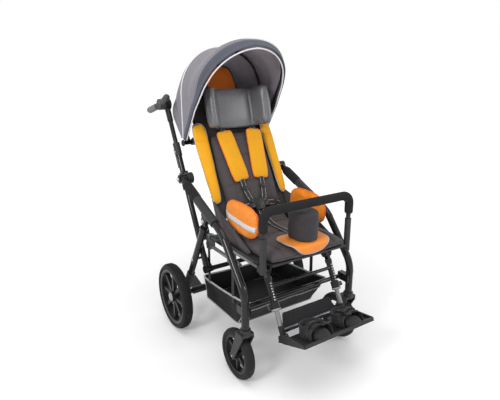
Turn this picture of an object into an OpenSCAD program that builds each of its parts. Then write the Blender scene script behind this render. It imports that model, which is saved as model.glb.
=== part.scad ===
// Special needs buggy: telescopic push tubes, folding legs, padded reclining seat, hood and footplate.
// Front is -Y, the occupant's left is +X, the floor is z = 0. Sizes in millimetres.

/* [Frame] */
// half distance between the push tube axes
half_push = 232; // [226:1:244]
// push tube outer radius
tube_r = 12.5; // [11.5:0.5:14]
// leg tube radius
leg_r = 15; // [13.5:0.5:16]
// side gap between the push tube plane and the leg plane
plane_gap = 0.5; // [0.5:0.1:2]
// lean of the push tubes from vertical, degrees
push_lean = 27.3; // [25:0.1:29]
// push tube lower end, along the buggy
push_low_y = 76; // [72:1:80]
// push tube lower end, height
push_low_z = 330; // [325:1:335]
// push tube length
push_len = 562; // [545:1:580]
// fold pivot, distance up the push tube
fold_s = 396; // [390:1:402]
// fold pivot, distance in front of the push tube axis
fold_off = 40; // [38:1:46]
// slope of the armrest below horizontal, degrees
arm_deg = 23.2; // [22:0.1:25]
// armrest length from the fold pivot to the first bend
arm_len = 370; // [355:1:385]
// slope of the shin tube below horizontal, degrees
shin_deg = 50.4; // [48:0.1:52]
// front leg foot, along the buggy
foot_y = -272; // [-285:1:-262]
// front leg lower end, height
leg_low_z = 236; // [234:1:242]
// rear leg pivot, distance along the armrest from the fold pivot
elbow_s = 240; // [234:1:248]
// rear leg pivot, drop below the armrest axis
elbow_drop = 38; // [36:1:42]

/* [Wheels] */
// rear wheel radius
wheel_r = 150; // [146:1:155]
// rear tyre width
tyre_w = 48; // [42:1:52]
// rear axle, along the buggy
axle_y = 250; // [244:1:258]
// caster wheel radius
caster_r = 100; // [95:1:102]
// caster tyre width
caster_w = 40; // [36:1:42]
// caster trail behind the stem
caster_trail = 54; // [48:1:60]
// radial running clearance of pins and tubes
run_gap = 0.05; // [0.03:0.01:0.08]

/* [Seat] */
// seat rail height
seat_z = 467; // [462:1:472]
// seat rail radius
rail_r = 11; // [10:0.5:11.5]
// back hinge, along the buggy
back_y = 49; // [46:1:56]
// back hinge, height
back_z = 500; // [498:1:503]
// lean of the back from vertical, degrees
back_lean = 28.5; // [26:0.1:30]
// half distance between the back tubes
back_half = 162; // [158:1:163]
// back tube length above the hinge
back_len = 590; // [588:1:600]
// seat cushion thickness
seat_pad_t = 46; // [38:1:52]
// seat cushion width
seat_pad_w = 366; // [340:2:368]
// seat cushion length
seat_pad_l = 346; // [330:2:352]
// back cushion thickness
back_pad_t = 44; // [36:1:50]
// headrest tilt forward of the back, degrees
head_tilt = 14; // [10:1:15]

/* [Hood] */
// hood pivot, along the buggy
hood_y = 305; // [302:1:309]
// hood pivot, height
hood_z = 838; // [834:1:842]
// half width of the front hood bow
bow_half = 201; // [198:1:203]
// front bow reach
bow_front = 474; // [455:1:485]
// middle bow reach
bow_mid = 390; // [375:1:405]
// rear bow reach
bow_rear = 292; // [286:1:298]
// hood bow radius
bow_r = 5; // [4:0.5:5]

/* [Handles] */
// telescopic stem radius
stem_r = 10; // [9:0.5:10.5]
// stem length showing above the push tube
stem_show = 190; // [175:1:205]
// grip radius
grip_r = 14; // [12:0.5:16]
// rear grip length
grip_len = 76.2; // [72:0.1:84]

/* [Feet] */
// half distance between the foot tubes
foot_half = 150; // [146:1:154]
// foot tube radius
foot_r = 12; // [11:0.5:13]
// slope of the foot tubes from vertical, degrees
foot_lean = 28; // [26:0.5:30]
// toe rise of the footplate, degrees
plate_deg = 21; // [18:0.5:24]
// footplate length
plate_len = 142; // [136:1:150]
// footplate width
plate_w = 330; // [310:2:340]

/* [Bumper] */
// bumper bar tube radius
bump_r = 9; // [8.5:0.5:10]
// bumper bar top height
bump_z = 681; // [670:1:692]

/* [Hidden] */
$fn = 64;

// shared offsets
touch = 0.02;
soft = 0.3;
// share of the headrest's wings that its rear follows
wing_back = 0.55;
free = 0.8;

// side planes
half_leg = half_push + tube_r + plane_gap + leg_r;
leg_in = half_leg - leg_r + 0.3;
leg_out = half_leg + leg_r;
fork_in = caster_w / 2 + 2;
fork_out = fork_in + 5;
wheel_in = half_leg + fork_out + 1;
wheel_x = wheel_in + tyre_w / 2;
push_in = half_push - tube_r;
push_out = half_push + tube_r;
half_rail = half_push - 32;
link_out = push_in - 5;
link_in = link_out - 8;

// side view points, as [y, z]
push_dir = [sin(push_lean), cos(push_lean)];
push_nrm = [-cos(push_lean), sin(push_lean)];
function on_push(s, off = 0) = [push_low_y, push_low_z] + s * push_dir + off * push_nrm;
fold_p = on_push(fold_s, fold_off);
arm_dir = [-cos(arm_deg), -sin(arm_deg)];
arm_nrm = [sin(arm_deg), -cos(arm_deg)];
function on_arm(s, off = 0) = fold_p + s * arm_dir + off * arm_nrm;
arm_end = on_arm(arm_len);
shin_end = [foot_y, arm_end[1] - (arm_end[0] - foot_y) * tan(shin_deg)];
leg_end = [foot_y, leg_low_z];
elbow_p = on_arm(elbow_s, elbow_drop);
axle_p = [axle_y, wheel_r];
rear_vec = axle_p - elbow_p;
rear_len = norm(rear_vec);
rear_dir = rear_vec / rear_len;
rear_lean = atan2(rear_dir[0], -rear_dir[1]);
function on_rear(s) = elbow_p + s * rear_dir;
link_s = 237;
link_p = on_rear(link_s);
caster_p = [foot_y + caster_trail, caster_r];
hood_p = [hood_y, hood_z];
board_z = seat_z + rail_r + touch;
board_t = 8;
pad_z = board_z + board_t + soft;
board_back = 30;
pad_back = 18;
board_front = pad_back - seat_pad_l + 6;
pedal_out = half_leg - 38;
hang_p = [-241, seat_z - 37];
foot_dir = [-sin(foot_lean), -cos(foot_lean)];
function on_foot(s) = hang_p + s * foot_dir;
slide_end = 252;
plate_p = on_foot(slide_end);
socket_y = -300;
guide_z = [430, 550];
slot_z = [488, 60];
strap_y = -17 - back_pad_t - 2 * soft;
rear_bow_deg = 34;
brace_z = seat_z - 43;
flap_t = 6;
flap_z = pad_z + seat_pad_t + soft;
socket_x = half_rail + 3;
socket_r = bump_r + 3.5;

// draws a piece on both sides
module both() {
    children();
    mirror([1, 0, 0]) children();
}

// right is -X, left is +X
module on_side(side) {
    if (side > 0) children();
    else mirror([1, 0, 0]) children();
}

// straight round bar in a side plane, from a to b as [y, z]
module bar(x, a, b, r) {
    d = b - a;
    translate([x, a[0], a[1]]) rotate([-atan2(d[0], d[1]), 0, 0]) cylinder(h = norm(d), r = r);
}

// round bar across the buggy
module across(x0, x1, p, r) {
    translate([x0, p[0], p[1]]) rotate([0, 90, 0]) cylinder(h = x1 - x0, r = r);
}

// round bar with a domed far end, between two points in space
module domed(a, b, r) {
    d = b - a;
    h = norm(d);
    translate(a) rotate([0, acos(d[2] / h), atan2(d[1], d[0])]) rotate_extrude() difference() {
        union() {
            square([r, h]);
            translate([0, h]) circle(r = r);
        }
        translate([-2 * r, -r]) square([2 * r, h + 3 * r]);
    }
}

// one bend of a flat bent tube: corner b between a and c, bend radius q
function bend_t(a, b, c, q) = q * tan(acos(max(-1, min(1, unit(b - a) * unit(c - b)))) / 2);
function unit(v) = v / norm(v);
function turn_of(u, v) = atan2(u[0] * v[1] - u[1] * v[0], u * v);

module bend(a, b, c, q, r) {
    u = unit(b - a);
    v = unit(c - b);
    t = turn_of(u, v);
    tl = q * tan(abs(t) / 2);
    p1 = b - tl * u;
    n = t > 0 ? [-u[1], u[0]] : [u[1], -u[0]];
    m = p1 + q * n;
    p2 = b + tl * v;
    s = t > 0 ? p1 - m : p2 - m;
    translate([m[0], m[1], 0])
        rotate([0, 0, atan2(s[1], s[0])])
            rotate_extrude(angle = abs(t)) translate([q, 0]) circle(r = r);
}

module flat_bar(a, b, r) {
    d = b - a;
    translate([a[0], a[1], 0]) rotate([0, 0, atan2(d[1], d[0])]) rotate([0, 90, 0]) cylinder(h = norm(d), r = r);
}

// bent tube in the XY plane with corners p[1] to p[n-2], and a swaged ring at each bend's ends
module bent(p, q, r, ring = 0) {
    n = len(p);
    for (i = [0 : n - 2]) {
        u = unit(p[i + 1] - p[i]);
        t0 = i == 0 ? 0 : bend_t(p[i - 1], p[i], p[i + 1], q);
        t1 = i == n - 2 ? 0 : bend_t(p[i], p[i + 1], p[i + 2], q);
        a = p[i] + t0 * u;
        b = p[i + 1] - t1 * u;
        flat_bar(a, b, r);
        if (ring > 0 && i > 0) flat_bar(a - 5 * u, a + 5 * u, r + ring);
        if (ring > 0 && i < n - 2) flat_bar(b - 5 * u, b + 5 * u, r + ring);
    }
    for (i = [1 : n - 2]) bend(p[i - 1], p[i], p[i + 1], q, r);
}

// places an XY drawing in a side plane
module side_plane(x) {
    translate([x, 0, 0]) rotate([90, 0, 90]) children();
}

// prism across the buggy over a side outline
module side_prism(x0, x1, outline) {
    translate([x0, 0, 0]) rotate([90, 0, 90]) linear_extrude(height = x1 - x0) polygon(outline);
}

// box along a slanted side direction: centre p, size along the direction and across it
module slant_box(x0, x1, p, lean, along, deep) {
    translate([x0, p[0], p[1]]) rotate([-lean, 0, 0])
        translate([0, -deep / 2, -along / 2]) cube([x1 - x0, deep, along]);
}

// places a piece in the leaning back's own axes: local Z up the back, local -Y to the occupant
module back_frame() {
    translate([0, back_y, back_z]) rotate([-back_lean, 0, 0]) children();
}

function back_local(p) = [
    (p[0] - back_y) * cos(back_lean) - (p[1] - back_z) * sin(back_lean),
    (p[0] - back_y) * sin(back_lean) + (p[1] - back_z) * cos(back_lean)];

// crowned pad over the XY plane, w by l, thickness t, edge e, and wing raises both ends to +Z
module pad(w, l, t, e, nu = 12, nv = 12, grooves = 0, depth = 0, round = 0.35, wing = 0, under = 0) {
    function gu(i) = -1 + 2 * i / nu;
    function gv(j) = -1 + 2 * j / nv;
    function px(u, v) = w / 2 * u * sqrt(1 - round * v * v / 2);
    function py(u, v) = l / 2 * v * sqrt(1 - round * u * u / 2);
    function rise(u) = let (q = min(1, max(0, (abs(u) - 0.55) / 0.33))) q * q * (3 - 2 * q);
    function lift(u) = wing * rise(u);
    function cut(v) = grooves == 0 ? 0 : depth * pow(abs(cos(90 * grooves * (v + 1))), 8);
    function full(u, v) = sqrt((1 - pow(u, 4)) * (1 - pow(v, 4)));
    function top(u, v) = e + (t - e) * full(u, v) - cut(v) * full(u, v) + lift(u);
    function low(u, v) = under * (1 - full(u, v)) + wing_back * lift(u);
    m = nv + 1;
    k = (nu + 1) * m;
    pts = concat(
        [for (i = [0 : nu]) for (j = [0 : nv]) [px(gu(i), gv(j)), py(gu(i), gv(j)), top(gu(i), gv(j))]],
        [for (i = [0 : nu]) for (j = [0 : nv]) [px(gu(i), gv(j)), py(gu(i), gv(j)), low(gu(i), gv(j))]]);
    up = [for (i = [0 : nu - 1]) for (j = [0 : nv - 1]) for (h = [0, 1])
        h == 0 ? [i * m + j, (i + 1) * m + j + 1, (i + 1) * m + j] : [i * m + j, i * m + j + 1, (i + 1) * m + j + 1]];
    dn = [for (i = [0 : nu - 1]) for (j = [0 : nv - 1]) for (h = [0, 1])
        h == 0 ? [k + i * m + j, k + (i + 1) * m + j, k + (i + 1) * m + j + 1]
            : [k + i * m + j, k + (i + 1) * m + j + 1, k + i * m + j + 1]];
    w1 = [for (i = [0 : nu - 1]) for (h = [0, 1])
        h == 0 ? [i * m, (i + 1) * m, k + (i + 1) * m] : [i * m, k + (i + 1) * m, k + i * m]];
    w2 = [for (i = [0 : nu - 1]) for (h = [0, 1])
        h == 0 ? [i * m + nv, k + (i + 1) * m + nv, (i + 1) * m + nv] : [i * m + nv, k + i * m + nv, k + (i + 1) * m + nv]];
    w3 = [for (j = [0 : nv - 1]) for (h = [0, 1])
        h == 0 ? [j, k + j + 1, j + 1] : [j, k + j, k + j + 1]];
    w4 = [for (j = [0 : nv - 1]) for (h = [0, 1])
        h == 0 ? [nu * m + j, nu * m + j + 1, k + nu * m + j + 1] : [nu * m + j, k + nu * m + j + 1, k + nu * m + j]];
    polyhedron(points = pts, faces = concat(up, dn, w1, w2, w3, w4), convexity = 6);
}

// main frame

module push_tubes() {
    color([0.05, 0.05, 0.05]) both() difference() {
        union() {
            bar(half_push, on_push(0), on_push(push_len), tube_r);
            across(push_in + 1, push_out, on_push(0), tube_r + 4);
            across(link_out + soft, push_in + 2, on_push(0), 8);
            across(link_in - 0.5, push_in + 2, on_push(0), 5);
        }
        bar(half_push, on_push(push_len - 270), on_push(push_len + 1), stem_r + run_gap);
    }
}

module knuckles() {
    mid = on_push(fold_s, fold_off / 2);
    color([0.16, 0.16, 0.17]) both() {
        difference() {
            union() {
                across(push_in - 3, push_out - 0.2, fold_p, 24);
                slant_box(push_in - 3, push_out - 0.2, mid, push_lean, 44, fold_off);
                slant_box(push_in - 3, push_out - 0.2, on_push(fold_s), push_lean, 78, 2 * tube_r + 9);
            }
            bar(half_push, on_push(fold_s - 60), on_push(fold_s + 60), tube_r + touch);
        }
        across(half_push, leg_out + 4, fold_p, 6);
        across(leg_out + free, leg_out + 5, fold_p, 12);
    }
}

module stem_clamps() {
    color([0.1, 0.1, 0.1]) both() difference() {
        union() {
            bar(half_push, on_push(push_len - 52), on_push(push_len + 6), tube_r + 2.9);
            slant_box(half_push - 6, half_push + 6, on_push(push_len - 24, -tube_r - 8), push_lean, 16, 20);
            bar(half_push, on_push(push_len - 100, -tube_r - 15), on_push(push_len - 14, -tube_r - 15), 5);
        }
        bar(half_push, on_push(push_len - 120), on_push(push_len), tube_r + touch);
        bar(half_push, on_push(push_len - 60), on_push(push_len + 9), stem_r + run_gap);
    }
}

module lower_cross_tube() {
    color([0.05, 0.05, 0.05]) across(-link_in + 0.5, link_in - 0.5, on_push(0), 10);
}

module seat_brackets() {
    s = (seat_z - push_low_z) / cos(push_lean);
    p = on_push(s);
    color([0.1, 0.1, 0.1]) both() difference() {
        union() {
            slant_box(half_rail - rail_r - 3, half_push + 3, p, push_lean, 60, 2 * tube_r + 10);
            translate([half_rail - rail_r - 3, p[0] - 10, seat_z - rail_r - 3])
                cube([2 * rail_r + 6, 50, 2 * rail_r + 6]);
        }
        bar(half_push, on_push(s - 80), on_push(s + 80), tube_r + touch);
        rail(p[0] + 36, -200, rail_r + touch);
    }
}

module rail(y0, y1, r) {
    both() translate([half_rail, y0, seat_z]) rotate([90, 0, 0]) cylinder(h = y0 - y1, r = r);
}

module seat_rails() {
    s = (seat_z - push_low_z) / cos(push_lean);
    color([0.05, 0.05, 0.05]) difference() {
        rail(on_push(s)[0] + 34, -90, rail_r);
        rail(40, -91, rail_r - 2.5 + touch);
    }
}

module rail_fronts() {
    color([0.45, 0.46, 0.47]) rail(40 - soft, socket_y, rail_r - 2.5);
}

module seat_board() {
    lug_in = 8.3;
    color([0.1, 0.1, 0.1]) {
        difference() {
            translate([-half_rail - 6, board_front + 48, board_z])
                cube([2 * half_rail + 12, board_back - board_front - 48, board_t]);
            both() across(foot_half - 30, foot_half + 30, hang_p, 0.5);
        }
        translate([-half_rail + 24, board_front, board_z]) cube([2 * half_rail - 48, 60, board_t]);
        both() difference() {
            for (x = [foot_half - lug_in - 6, foot_half + lug_in])
                translate([x, hang_p[0], 0]) {
                    translate([0, 0, hang_p[1]]) rotate([0, 90, 0]) cylinder(h = 6, r = 17);
                    translate([0, -17, hang_p[1]]) cube([6, 34, board_z - hang_p[1] + 1]);
                }
            across(foot_half - 20, foot_half + 20, hang_p, 5 + touch);
        }
        both() across(foot_half - lug_in - 9, foot_half + lug_in + 9, hang_p, 5);
        both() for (y = [board_front + 67, -20])
            translate([half_rail - 9, y - 12, board_z - 4]) difference() {
                cube([18, 24, 5]);
                translate([9, 30, seat_z - board_z + 4]) rotate([90, 0, 0]) cylinder(h = 40, r = rail_r + touch);
            }
    }
}

module seat_braces() {
    low_z = brace_z;
    color([0.45, 0.46, 0.47]) both() {
        translate([half_rail, 128, low_z]) rotate([90, 0, 0]) cylinder(h = 270, r = 8);
        for (y = [96, -78])
            difference() {
                translate([half_rail - 14, y - 14, low_z - 11]) cube([28, 28, seat_z - low_z + 20]);
                translate([half_rail, y + 20, seat_z]) rotate([90, 0, 0]) cylinder(h = 40, r = rail_r + touch);
            }
    }
}

module back_hinges() {
    outer = half_rail + 6;
    plate_x = back_half + 12;
    color([0.1, 0.1, 0.1]) both() difference() {
        union() {
            translate([plate_x, back_y - 14, seat_z - 4]) cube([12, 28, back_z - seat_z + 4]);
            across(plate_x, plate_x + 12, [back_y, back_z], 14);
            translate([plate_x, back_y - 14, seat_z - 4]) cube([outer - plate_x, 28, rail_r + 10]);
            across(back_half - 14, plate_x + 10, [back_y, back_z], 5);
            across(back_half - 16, back_half - 11.6, [back_y, back_z], 9);
        }
        rail(100, 0, rail_r + touch);
        translate([half_rail - 60, -1, board_z - 0.4]) cube([120, board_back + 1.3, board_t + 0.8]);
    }
}

module bumper_sockets() {
    color([0.1, 0.1, 0.1]) both() difference() {
        union() {
            translate([socket_x, socket_y, seat_z - 16]) cylinder(h = 134, r = socket_r);
            translate([half_rail - 13, socket_y, seat_z - 13]) cube([26, 24, 24]);
        }
        translate([socket_x, socket_y, seat_z + 18]) cylinder(h = 140, r = bump_r + run_gap);
        rail(0, socket_y, rail_r - 2.5 + touch);
    }
}

module seat_cushion() {
    color([0.2, 0.19, 0.19])
        translate([0, pad_back - seat_pad_l / 2, pad_z])
            pad(seat_pad_w, seat_pad_l, seat_pad_t, 16, 14, 16, 2, 5, 0.22);
}

// cloth flap over the seat's front edge, under the abduction block
module seat_flap() {
    f = pad_back - seat_pad_l - soft;
    outline = [[f + 118, flap_z], [f, flap_z], [f, pad_z + 8], [f - flap_t, pad_z + 8],
        [f - flap_t, flap_z - 6], [f - flap_t + 6, flap_z + flap_t], [f + 118, flap_z + flap_t]];
    color([0.9, 0.4, 0.08]) side_prism(-96, 96, outline);
}

module basket() {
    out = [[-122, 152], [170, 160], [186, 250], [-206, 288]];
    inn = [[-119, 155], [168, 163], [185, 270], [-202.5, 304]];
    color([0.06, 0.06, 0.06]) {
        difference() {
            side_prism(-204, 204, out);
            side_prism(-201, 201, inn);
        }
        for (x = [-150, 0, 150])
            side_prism(x - 12, x + 12, [[-196, 268], [-191.5, 268], [-221.5, 297], [-225.5, 297]]);
        both() for (y = [100, -100])
            translate([half_rail + 1, y, 240]) cube([3, 18, brace_z - 11 - soft - 240]);
    }
}

// back unit

module back_tubes() {
    color([0.05, 0.05, 0.05]) back_frame() difference() {
        union() {
            rotate([90, 0, 0])
                bent([[-back_half, 0], [-back_half, back_len], [back_half, back_len], [back_half, 0]], 60, 11);
            both() across(back_half - 9, back_half + 11.6, [0, 0], 15);
            across(-back_half, back_half, [0, 60], 8);
        }
        both() across(back_half - 30, back_half + 30, [0, 0], 5 + run_gap);
    }
}

module back_panel() {
    color([0.08, 0.08, 0.08]) back_frame() {
        difference() {
            translate([-back_half - 8, -17, 44]) cube([2 * back_half + 16, 6 - touch, back_len - 50]);
            translate([-28, -30, slot_z[0]]) cube([56, 40, slot_z[1]]);
        }
        for (z = guide_z)
            difference() {
                translate([-34, -11.5, z]) cube([68, 37.5, 24]);
                translate([-22.4, 12.6, z - 1]) cube([44.8, 8.8, 26]);
            }
    }
}

module back_cushion() {
    color([0.2, 0.19, 0.19]) back_frame() translate([0, -17 - soft, 234.5]) rotate([90, 0, 0])
        pad(264, 355, back_pad_t, 14, 14, 18, 3, 5, 0.2);
}

module head_panel() {
    color([0.9, 0.42, 0.1]) back_frame()
        translate([0, -17 - soft, 655]) rotate([90, 0, 0]) pad(166, 180, 24, 8, 12, 12, 0, 0, 0.7);
}

module side_pad(side) {
    color([0.95, 0.55, 0.08]) back_frame() on_side(side)
        translate([134.5, -26, 289]) rotate([90, 0, 12])
            translate([31, 0, 0]) pad(62, 362, 24, 9, 8, 16, 0, 0, 0.4, 0, 6);
}

module side_pad_right() {
    side_pad(-1);
}

module side_pad_left() {
    side_pad(1);
}

module shoulder_pads() {
    color([0.95, 0.55, 0.08]) back_frame() both()
        translate([62, strap_y, 298]) rotate([90, 0, 0]) pad(76, 226, 15, 5, 8, 12, 0, 0, 0.5);
}

module harness_straps() {
    color([0.05, 0.05, 0.05]) back_frame() both() translate([31, strap_y - 3, 88]) cube([38, 3, 96.7]);
}

module harness_buckle() {
    color([0.04, 0.04, 0.04]) back_frame() {
        translate([-30, strap_y - 16, 44]) cube([60, 16, 54]);
        both() translate([29, strap_y - 10, 60]) cube([26, 8, 27.7]);
    }
}

// hood

module hood_brackets() {
    p = back_local(hood_p);
    color([0.1, 0.1, 0.1]) back_frame() both() difference() {
        union() {
            translate([back_half - 5, 0, p[1] - 13]) cube([15, p[0], 26]);
            across(back_half - 5, back_half + 10, p, 13);
            translate([back_half - 15, 0, p[1] - 22]) cube([25, 15, 44]);
            across(back_half, bow_half + bow_r + 1, p, 4);
        }
        translate([back_half, 0, p[1] - 60]) cylinder(h = 120, r = 11 + touch);
    }
}

// hood bow in its own plane: half width w, reach h, corner radius q
module bow(w, h, q) {
    difference() {
        union() {
            rotate([90, 0, 0]) bent([[-w, 0], [-w, h], [w, h], [w, 0]], q, bow_r);
            both() across(w - bow_r + 0.3, w + bow_r - 0.3, [0, 0], 9);
        }
        both() across(w - 20, w + 20, [0, 0], 4 + run_gap);
    }
}

module hood_front_bow() {
    color([0.08, 0.08, 0.08]) translate([0, hood_y, hood_z]) rotate([30, 0, 0]) bow(bow_half, bow_front, bow_half - 11);
}

module hood_mid_bow() {
    color([0.08, 0.08, 0.08]) translate([0, hood_y, hood_z]) bow(bow_half - 11, bow_mid, bow_half - 23);
}

module hood_rear_bow() {
    color([0.08, 0.08, 0.08]) translate([0, hood_y, hood_z]) rotate([-rear_bow_deg, 0, 0]) bow(bow_half - 22, bow_rear, bow_half - 51);
}

// one hood section, from the right side over the top to the left: points [x, reach]
function hood_arc(w, h, q, n) = let (side = h - q, a0 = 26)
    concat([for (i = [0 : 3]) [-w, a0 + (side - a0) * i / 4]],
        [for (i = [0 : n]) [-w + q - q * cos(90 * i / n), side + q * sin(90 * i / n)]],
        [for (i = [n : -1 : 0]) [w - q + q * cos(90 * i / n), side + q * sin(90 * i / n)]],
        [for (i = [3 : -1 : 0]) [w, a0 + (side - a0) * i / 4]]);

function hood_pts(off) = let (w = bow_half + bow_r + 1.6 + off, g = bow_r + 0.5 + off, q = bow_half - 6)
    [for (s = [[34, bow_front - 2, q], [31, bow_front + 6, q], [27, bow_front - 2, q],
            [15, (bow_front + bow_mid) / 2 - 24, q], [3, bow_mid + 3.5, q], [0, bow_mid + 2.5, q],
            [-4, bow_mid, q], [-20, (bow_mid + bow_rear) / 2 - 6, q - 14], [-rear_bow_deg, bow_rear + 4, q - 26],
            [-rear_bow_deg - 8, bow_rear - 12, q - 32]])
        for (c = hood_arc(w, s[1] + g, s[2], 9))
            [c[0], -c[1] * sin(s[0]), c[1] * cos(s[0])]];

module hood_cover() {
    rows = 10;
    m = len(hood_arc(10, 200, 50, 9));
    k = rows * m;
    pts = concat(hood_pts(2), hood_pts(0));
    quads = [for (i = [0 : rows - 2]) for (j = [0 : m - 2]) [i * m + j, i * m + j + 1, (i + 1) * m + j + 1, (i + 1) * m + j]];
    top = [for (f = quads) for (h = [0, 1]) h == 0 ? [f[0], f[2], f[1]] : [f[0], f[3], f[2]]];
    low = [for (f = quads) for (h = [0, 1])
        h == 0 ? [k + f[0], k + f[1], k + f[2]] : [k + f[0], k + f[2], k + f[3]]];
    ea = [for (j = [0 : m - 2]) for (h = [0, 1])
        h == 0 ? [j, j + 1, k + j + 1] : [j, k + j + 1, k + j]];
    e = (rows - 1) * m;
    eb = [for (j = [0 : m - 2]) for (h = [0, 1])
        h == 0 ? [e + j, k + e + j + 1, e + j + 1] : [e + j, k + e + j, k + e + j + 1]];
    sa = [for (i = [0 : rows - 2]) for (h = [0, 1])
        h == 0 ? [i * m, k + (i + 1) * m, (i + 1) * m] : [i * m, k + i * m, k + (i + 1) * m]];
    sb = [for (i = [0 : rows - 2]) for (h = [0, 1])
        h == 0 ? [i * m + m - 1, (i + 1) * m + m - 1, k + (i + 1) * m + m - 1]
            : [i * m + m - 1, k + (i + 1) * m + m - 1, k + i * m + m - 1]];
    color([0.55, 0.53, 0.58]) translate([0, hood_y, hood_z])
        polyhedron(points = pts, faces = concat(top, low, ea, eb, sa, sb), convexity = 8);
}

// headrest

module headrest_stem() {
    color([0.1, 0.1, 0.1]) back_frame() {
        translate([-22, 13, 400]) cube([44, 8, 192]);
        translate([-22, -40, 499]) cube([44, 56, 12]);
        translate([0, -38, 505]) rotate([head_tilt, 0, 0]) translate([-60, -4, -32]) cube([120, 4, 64]);
    }
}

module headrest_pad() {
    color([0.42, 0.42, 0.43]) back_frame()
        translate([0, -38, 505]) rotate([head_tilt, 0, 0]) translate([0, -4 - soft, 14]) rotate([90, 0, 0])
            pad(300, 176, 36, 24, 18, 12, 0, 0, 0.2, 84);
}

// folding legs

module front_legs() {
    path = [fold_p, arm_end, shin_end, leg_end];
    color([0.05, 0.05, 0.05]) both() difference() {
        union() {
            side_plane(half_leg) bent(path, 105, leg_r, 0.5);
            across(leg_in, leg_out - 0.3, fold_p, 19);
        }
        across(leg_in - 5, leg_out + 5, fold_p, 6 + run_gap);
        translate([half_leg, foot_y, leg_low_z - 1]) cylinder(h = 62, r = 8 + run_gap);
    }
}

module armrest_pads() {
    color([0.15, 0.15, 0.15]) both() difference() {
        bar(half_leg, on_arm(44), on_arm(elbow_s - 92), leg_r + 6);
        bar(half_leg, on_arm(30), on_arm(elbow_s - 60), leg_r + touch);
    }
}

module elbow_sleeves() {
    lug = 8.3;
    color([0.16, 0.16, 0.17]) both() {
        difference() {
            union() {
                bar(half_leg, on_arm(elbow_s - 91), on_arm(elbow_s + 66), leg_r + 4);
                for (x = [half_leg - lug - 6, half_leg + lug])
                    translate([x, 0, 0]) {
                        across(0, 6, elbow_p, 17);
                        slant_box(0, 6, on_arm(elbow_s, elbow_drop / 2), arm_deg - 90, 34, elbow_drop);
                    }
            }
            bar(half_leg, on_arm(elbow_s - 100), on_arm(elbow_s + 80), leg_r + touch);
        }
        across(half_leg - lug - 7, half_leg + lug + 7, elbow_p, 6);
    }
}

module front_cross_tube() {
    p = [foot_y + 37, 300];
    color([0.05, 0.05, 0.05]) {
        across(-half_leg + leg_r + 2, half_leg - leg_r - 2, p, 9);
        both() difference() {
            translate([half_leg - leg_r - 4, foot_y - 10, 284]) cube([leg_r + 10, 60, 32]);
            translate([half_leg, foot_y, 200]) cylinder(h = 160, r = leg_r + touch);
        }
    }
}

module rear_legs() {
    r = leg_r - 1;
    color([0.05, 0.05, 0.05]) both() difference() {
        union() {
            bar(half_leg, on_rear(46), on_rear(rear_len - 40), r);
            bar(half_leg, on_rear(38), on_rear(54), r + 2);
            slant_box(half_leg - 6.5, half_leg + 6.5, on_rear(27), -rear_lean, 38, 22);
            across(half_leg - 7.5, half_leg + 7.5, elbow_p, 15);
            across(link_out + 0.5, half_leg, link_p, 5);
        }
        across(half_leg - 20, half_leg + 20, elbow_p, 6 + run_gap);
    }
}

module wheel_brackets() {
    color([0.16, 0.16, 0.17]) both() {
        difference() {
            union() {
                bar(half_leg, on_rear(rear_len - 150), on_rear(rear_len - 20), leg_r + 3);
                across(half_leg - leg_r - 2, half_leg + leg_r + 6, axle_p, 27);
            }
            bar(half_leg, on_rear(rear_len - 170), on_rear(rear_len - 40), leg_r - 1 + touch);
            across(half_leg - leg_r - 5, half_leg - 4, axle_p, 11 + touch);
        }
        across(half_leg + 5, wheel_in + 1.5, axle_p, 14);
        across(half_leg + 5, wheel_x + tyre_w / 2 - 4, axle_p, 8);
    }
}

module rear_axle() {
    color([0.05, 0.05, 0.05]) across(-half_leg + 4, half_leg - 4, axle_p, 11);
}

module brake_pedal() {
    color([0.1, 0.1, 0.1]) difference() {
        union() {
            across(-pedal_out, 62 - pedal_out, axle_p, 17);
            slant_box(6 - pedal_out, 56 - pedal_out, axle_p + [46, 14], 73, 80, 10);
        }
        across(-pedal_out - 18, 82 - pedal_out, axle_p, 11 + run_gap);
    }
}

module fold_links() {
    b = on_push(0);
    v = link_p - b;
    color([0.1, 0.1, 0.1]) both() difference() {
        union() {
            across(link_in, link_out, b, 13);
            across(link_in, link_out, link_p, 12);
            slant_box(link_in, link_out, (b + link_p) / 2, atan2(v[0], v[1]), norm(v), 18);
        }
        across(link_in - 5, link_out + 5, b, 5 + run_gap);
    }
}

// wheels

module tyre(r, w, inner) {
    rotate([0, 90, 0]) rotate_extrude($fn = 96) difference() {
        union() {
            translate([inner, -w / 2 + 5]) square([r - inner - 8, w - 10]);
            translate([inner + 4, -w / 2]) square([r - inner - 18, w]);
            translate([r - 14, -w / 2 + 5]) square([6, w - 10]);
            translate([r - 14, -w / 2 + 14]) square([14, w - 28]);
            translate([r - 14, w / 2 - 14]) circle(r = 14);
            translate([r - 14, -w / 2 + 14]) circle(r = 14);
        }
        translate([0, -w]) square([inner, 2 * w]);
    }
}

module rear_rim(side) {
    rim = wheel_r - 26 - touch;
    color([0.2, 0.2, 0.21]) on_side(side) translate([wheel_x, axle_p[0], axle_p[1]]) rotate([0, 90, 0])
        difference() {
            union() {
                rotate_extrude($fn = 96) translate([rim - 12, -17]) square([12, 34]);
                cylinder(h = tyre_w - 6, r = 24, center = true);
                for (a = [0 : 45 : 315]) rotate([0, 0, a]) translate([15, -8, -9]) cube([rim - 22, 16, 18]);
            }
            translate([0, 0, -40]) cylinder(h = 80 + 0, r = 8 + run_gap);
        }
}

module rear_tyre_right() {
    color([0.04, 0.04, 0.04]) translate([-wheel_x, axle_p[0], axle_p[1]]) tyre(wheel_r, tyre_w, wheel_r - 26);
}

module rear_tyre_left() {
    color([0.04, 0.04, 0.04]) translate([wheel_x, axle_p[0], axle_p[1]]) tyre(wheel_r, tyre_w, wheel_r - 26);
}

module rear_rim_right() {
    rear_rim(-1);
}

module rear_rim_left() {
    rear_rim(1);
}

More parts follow.
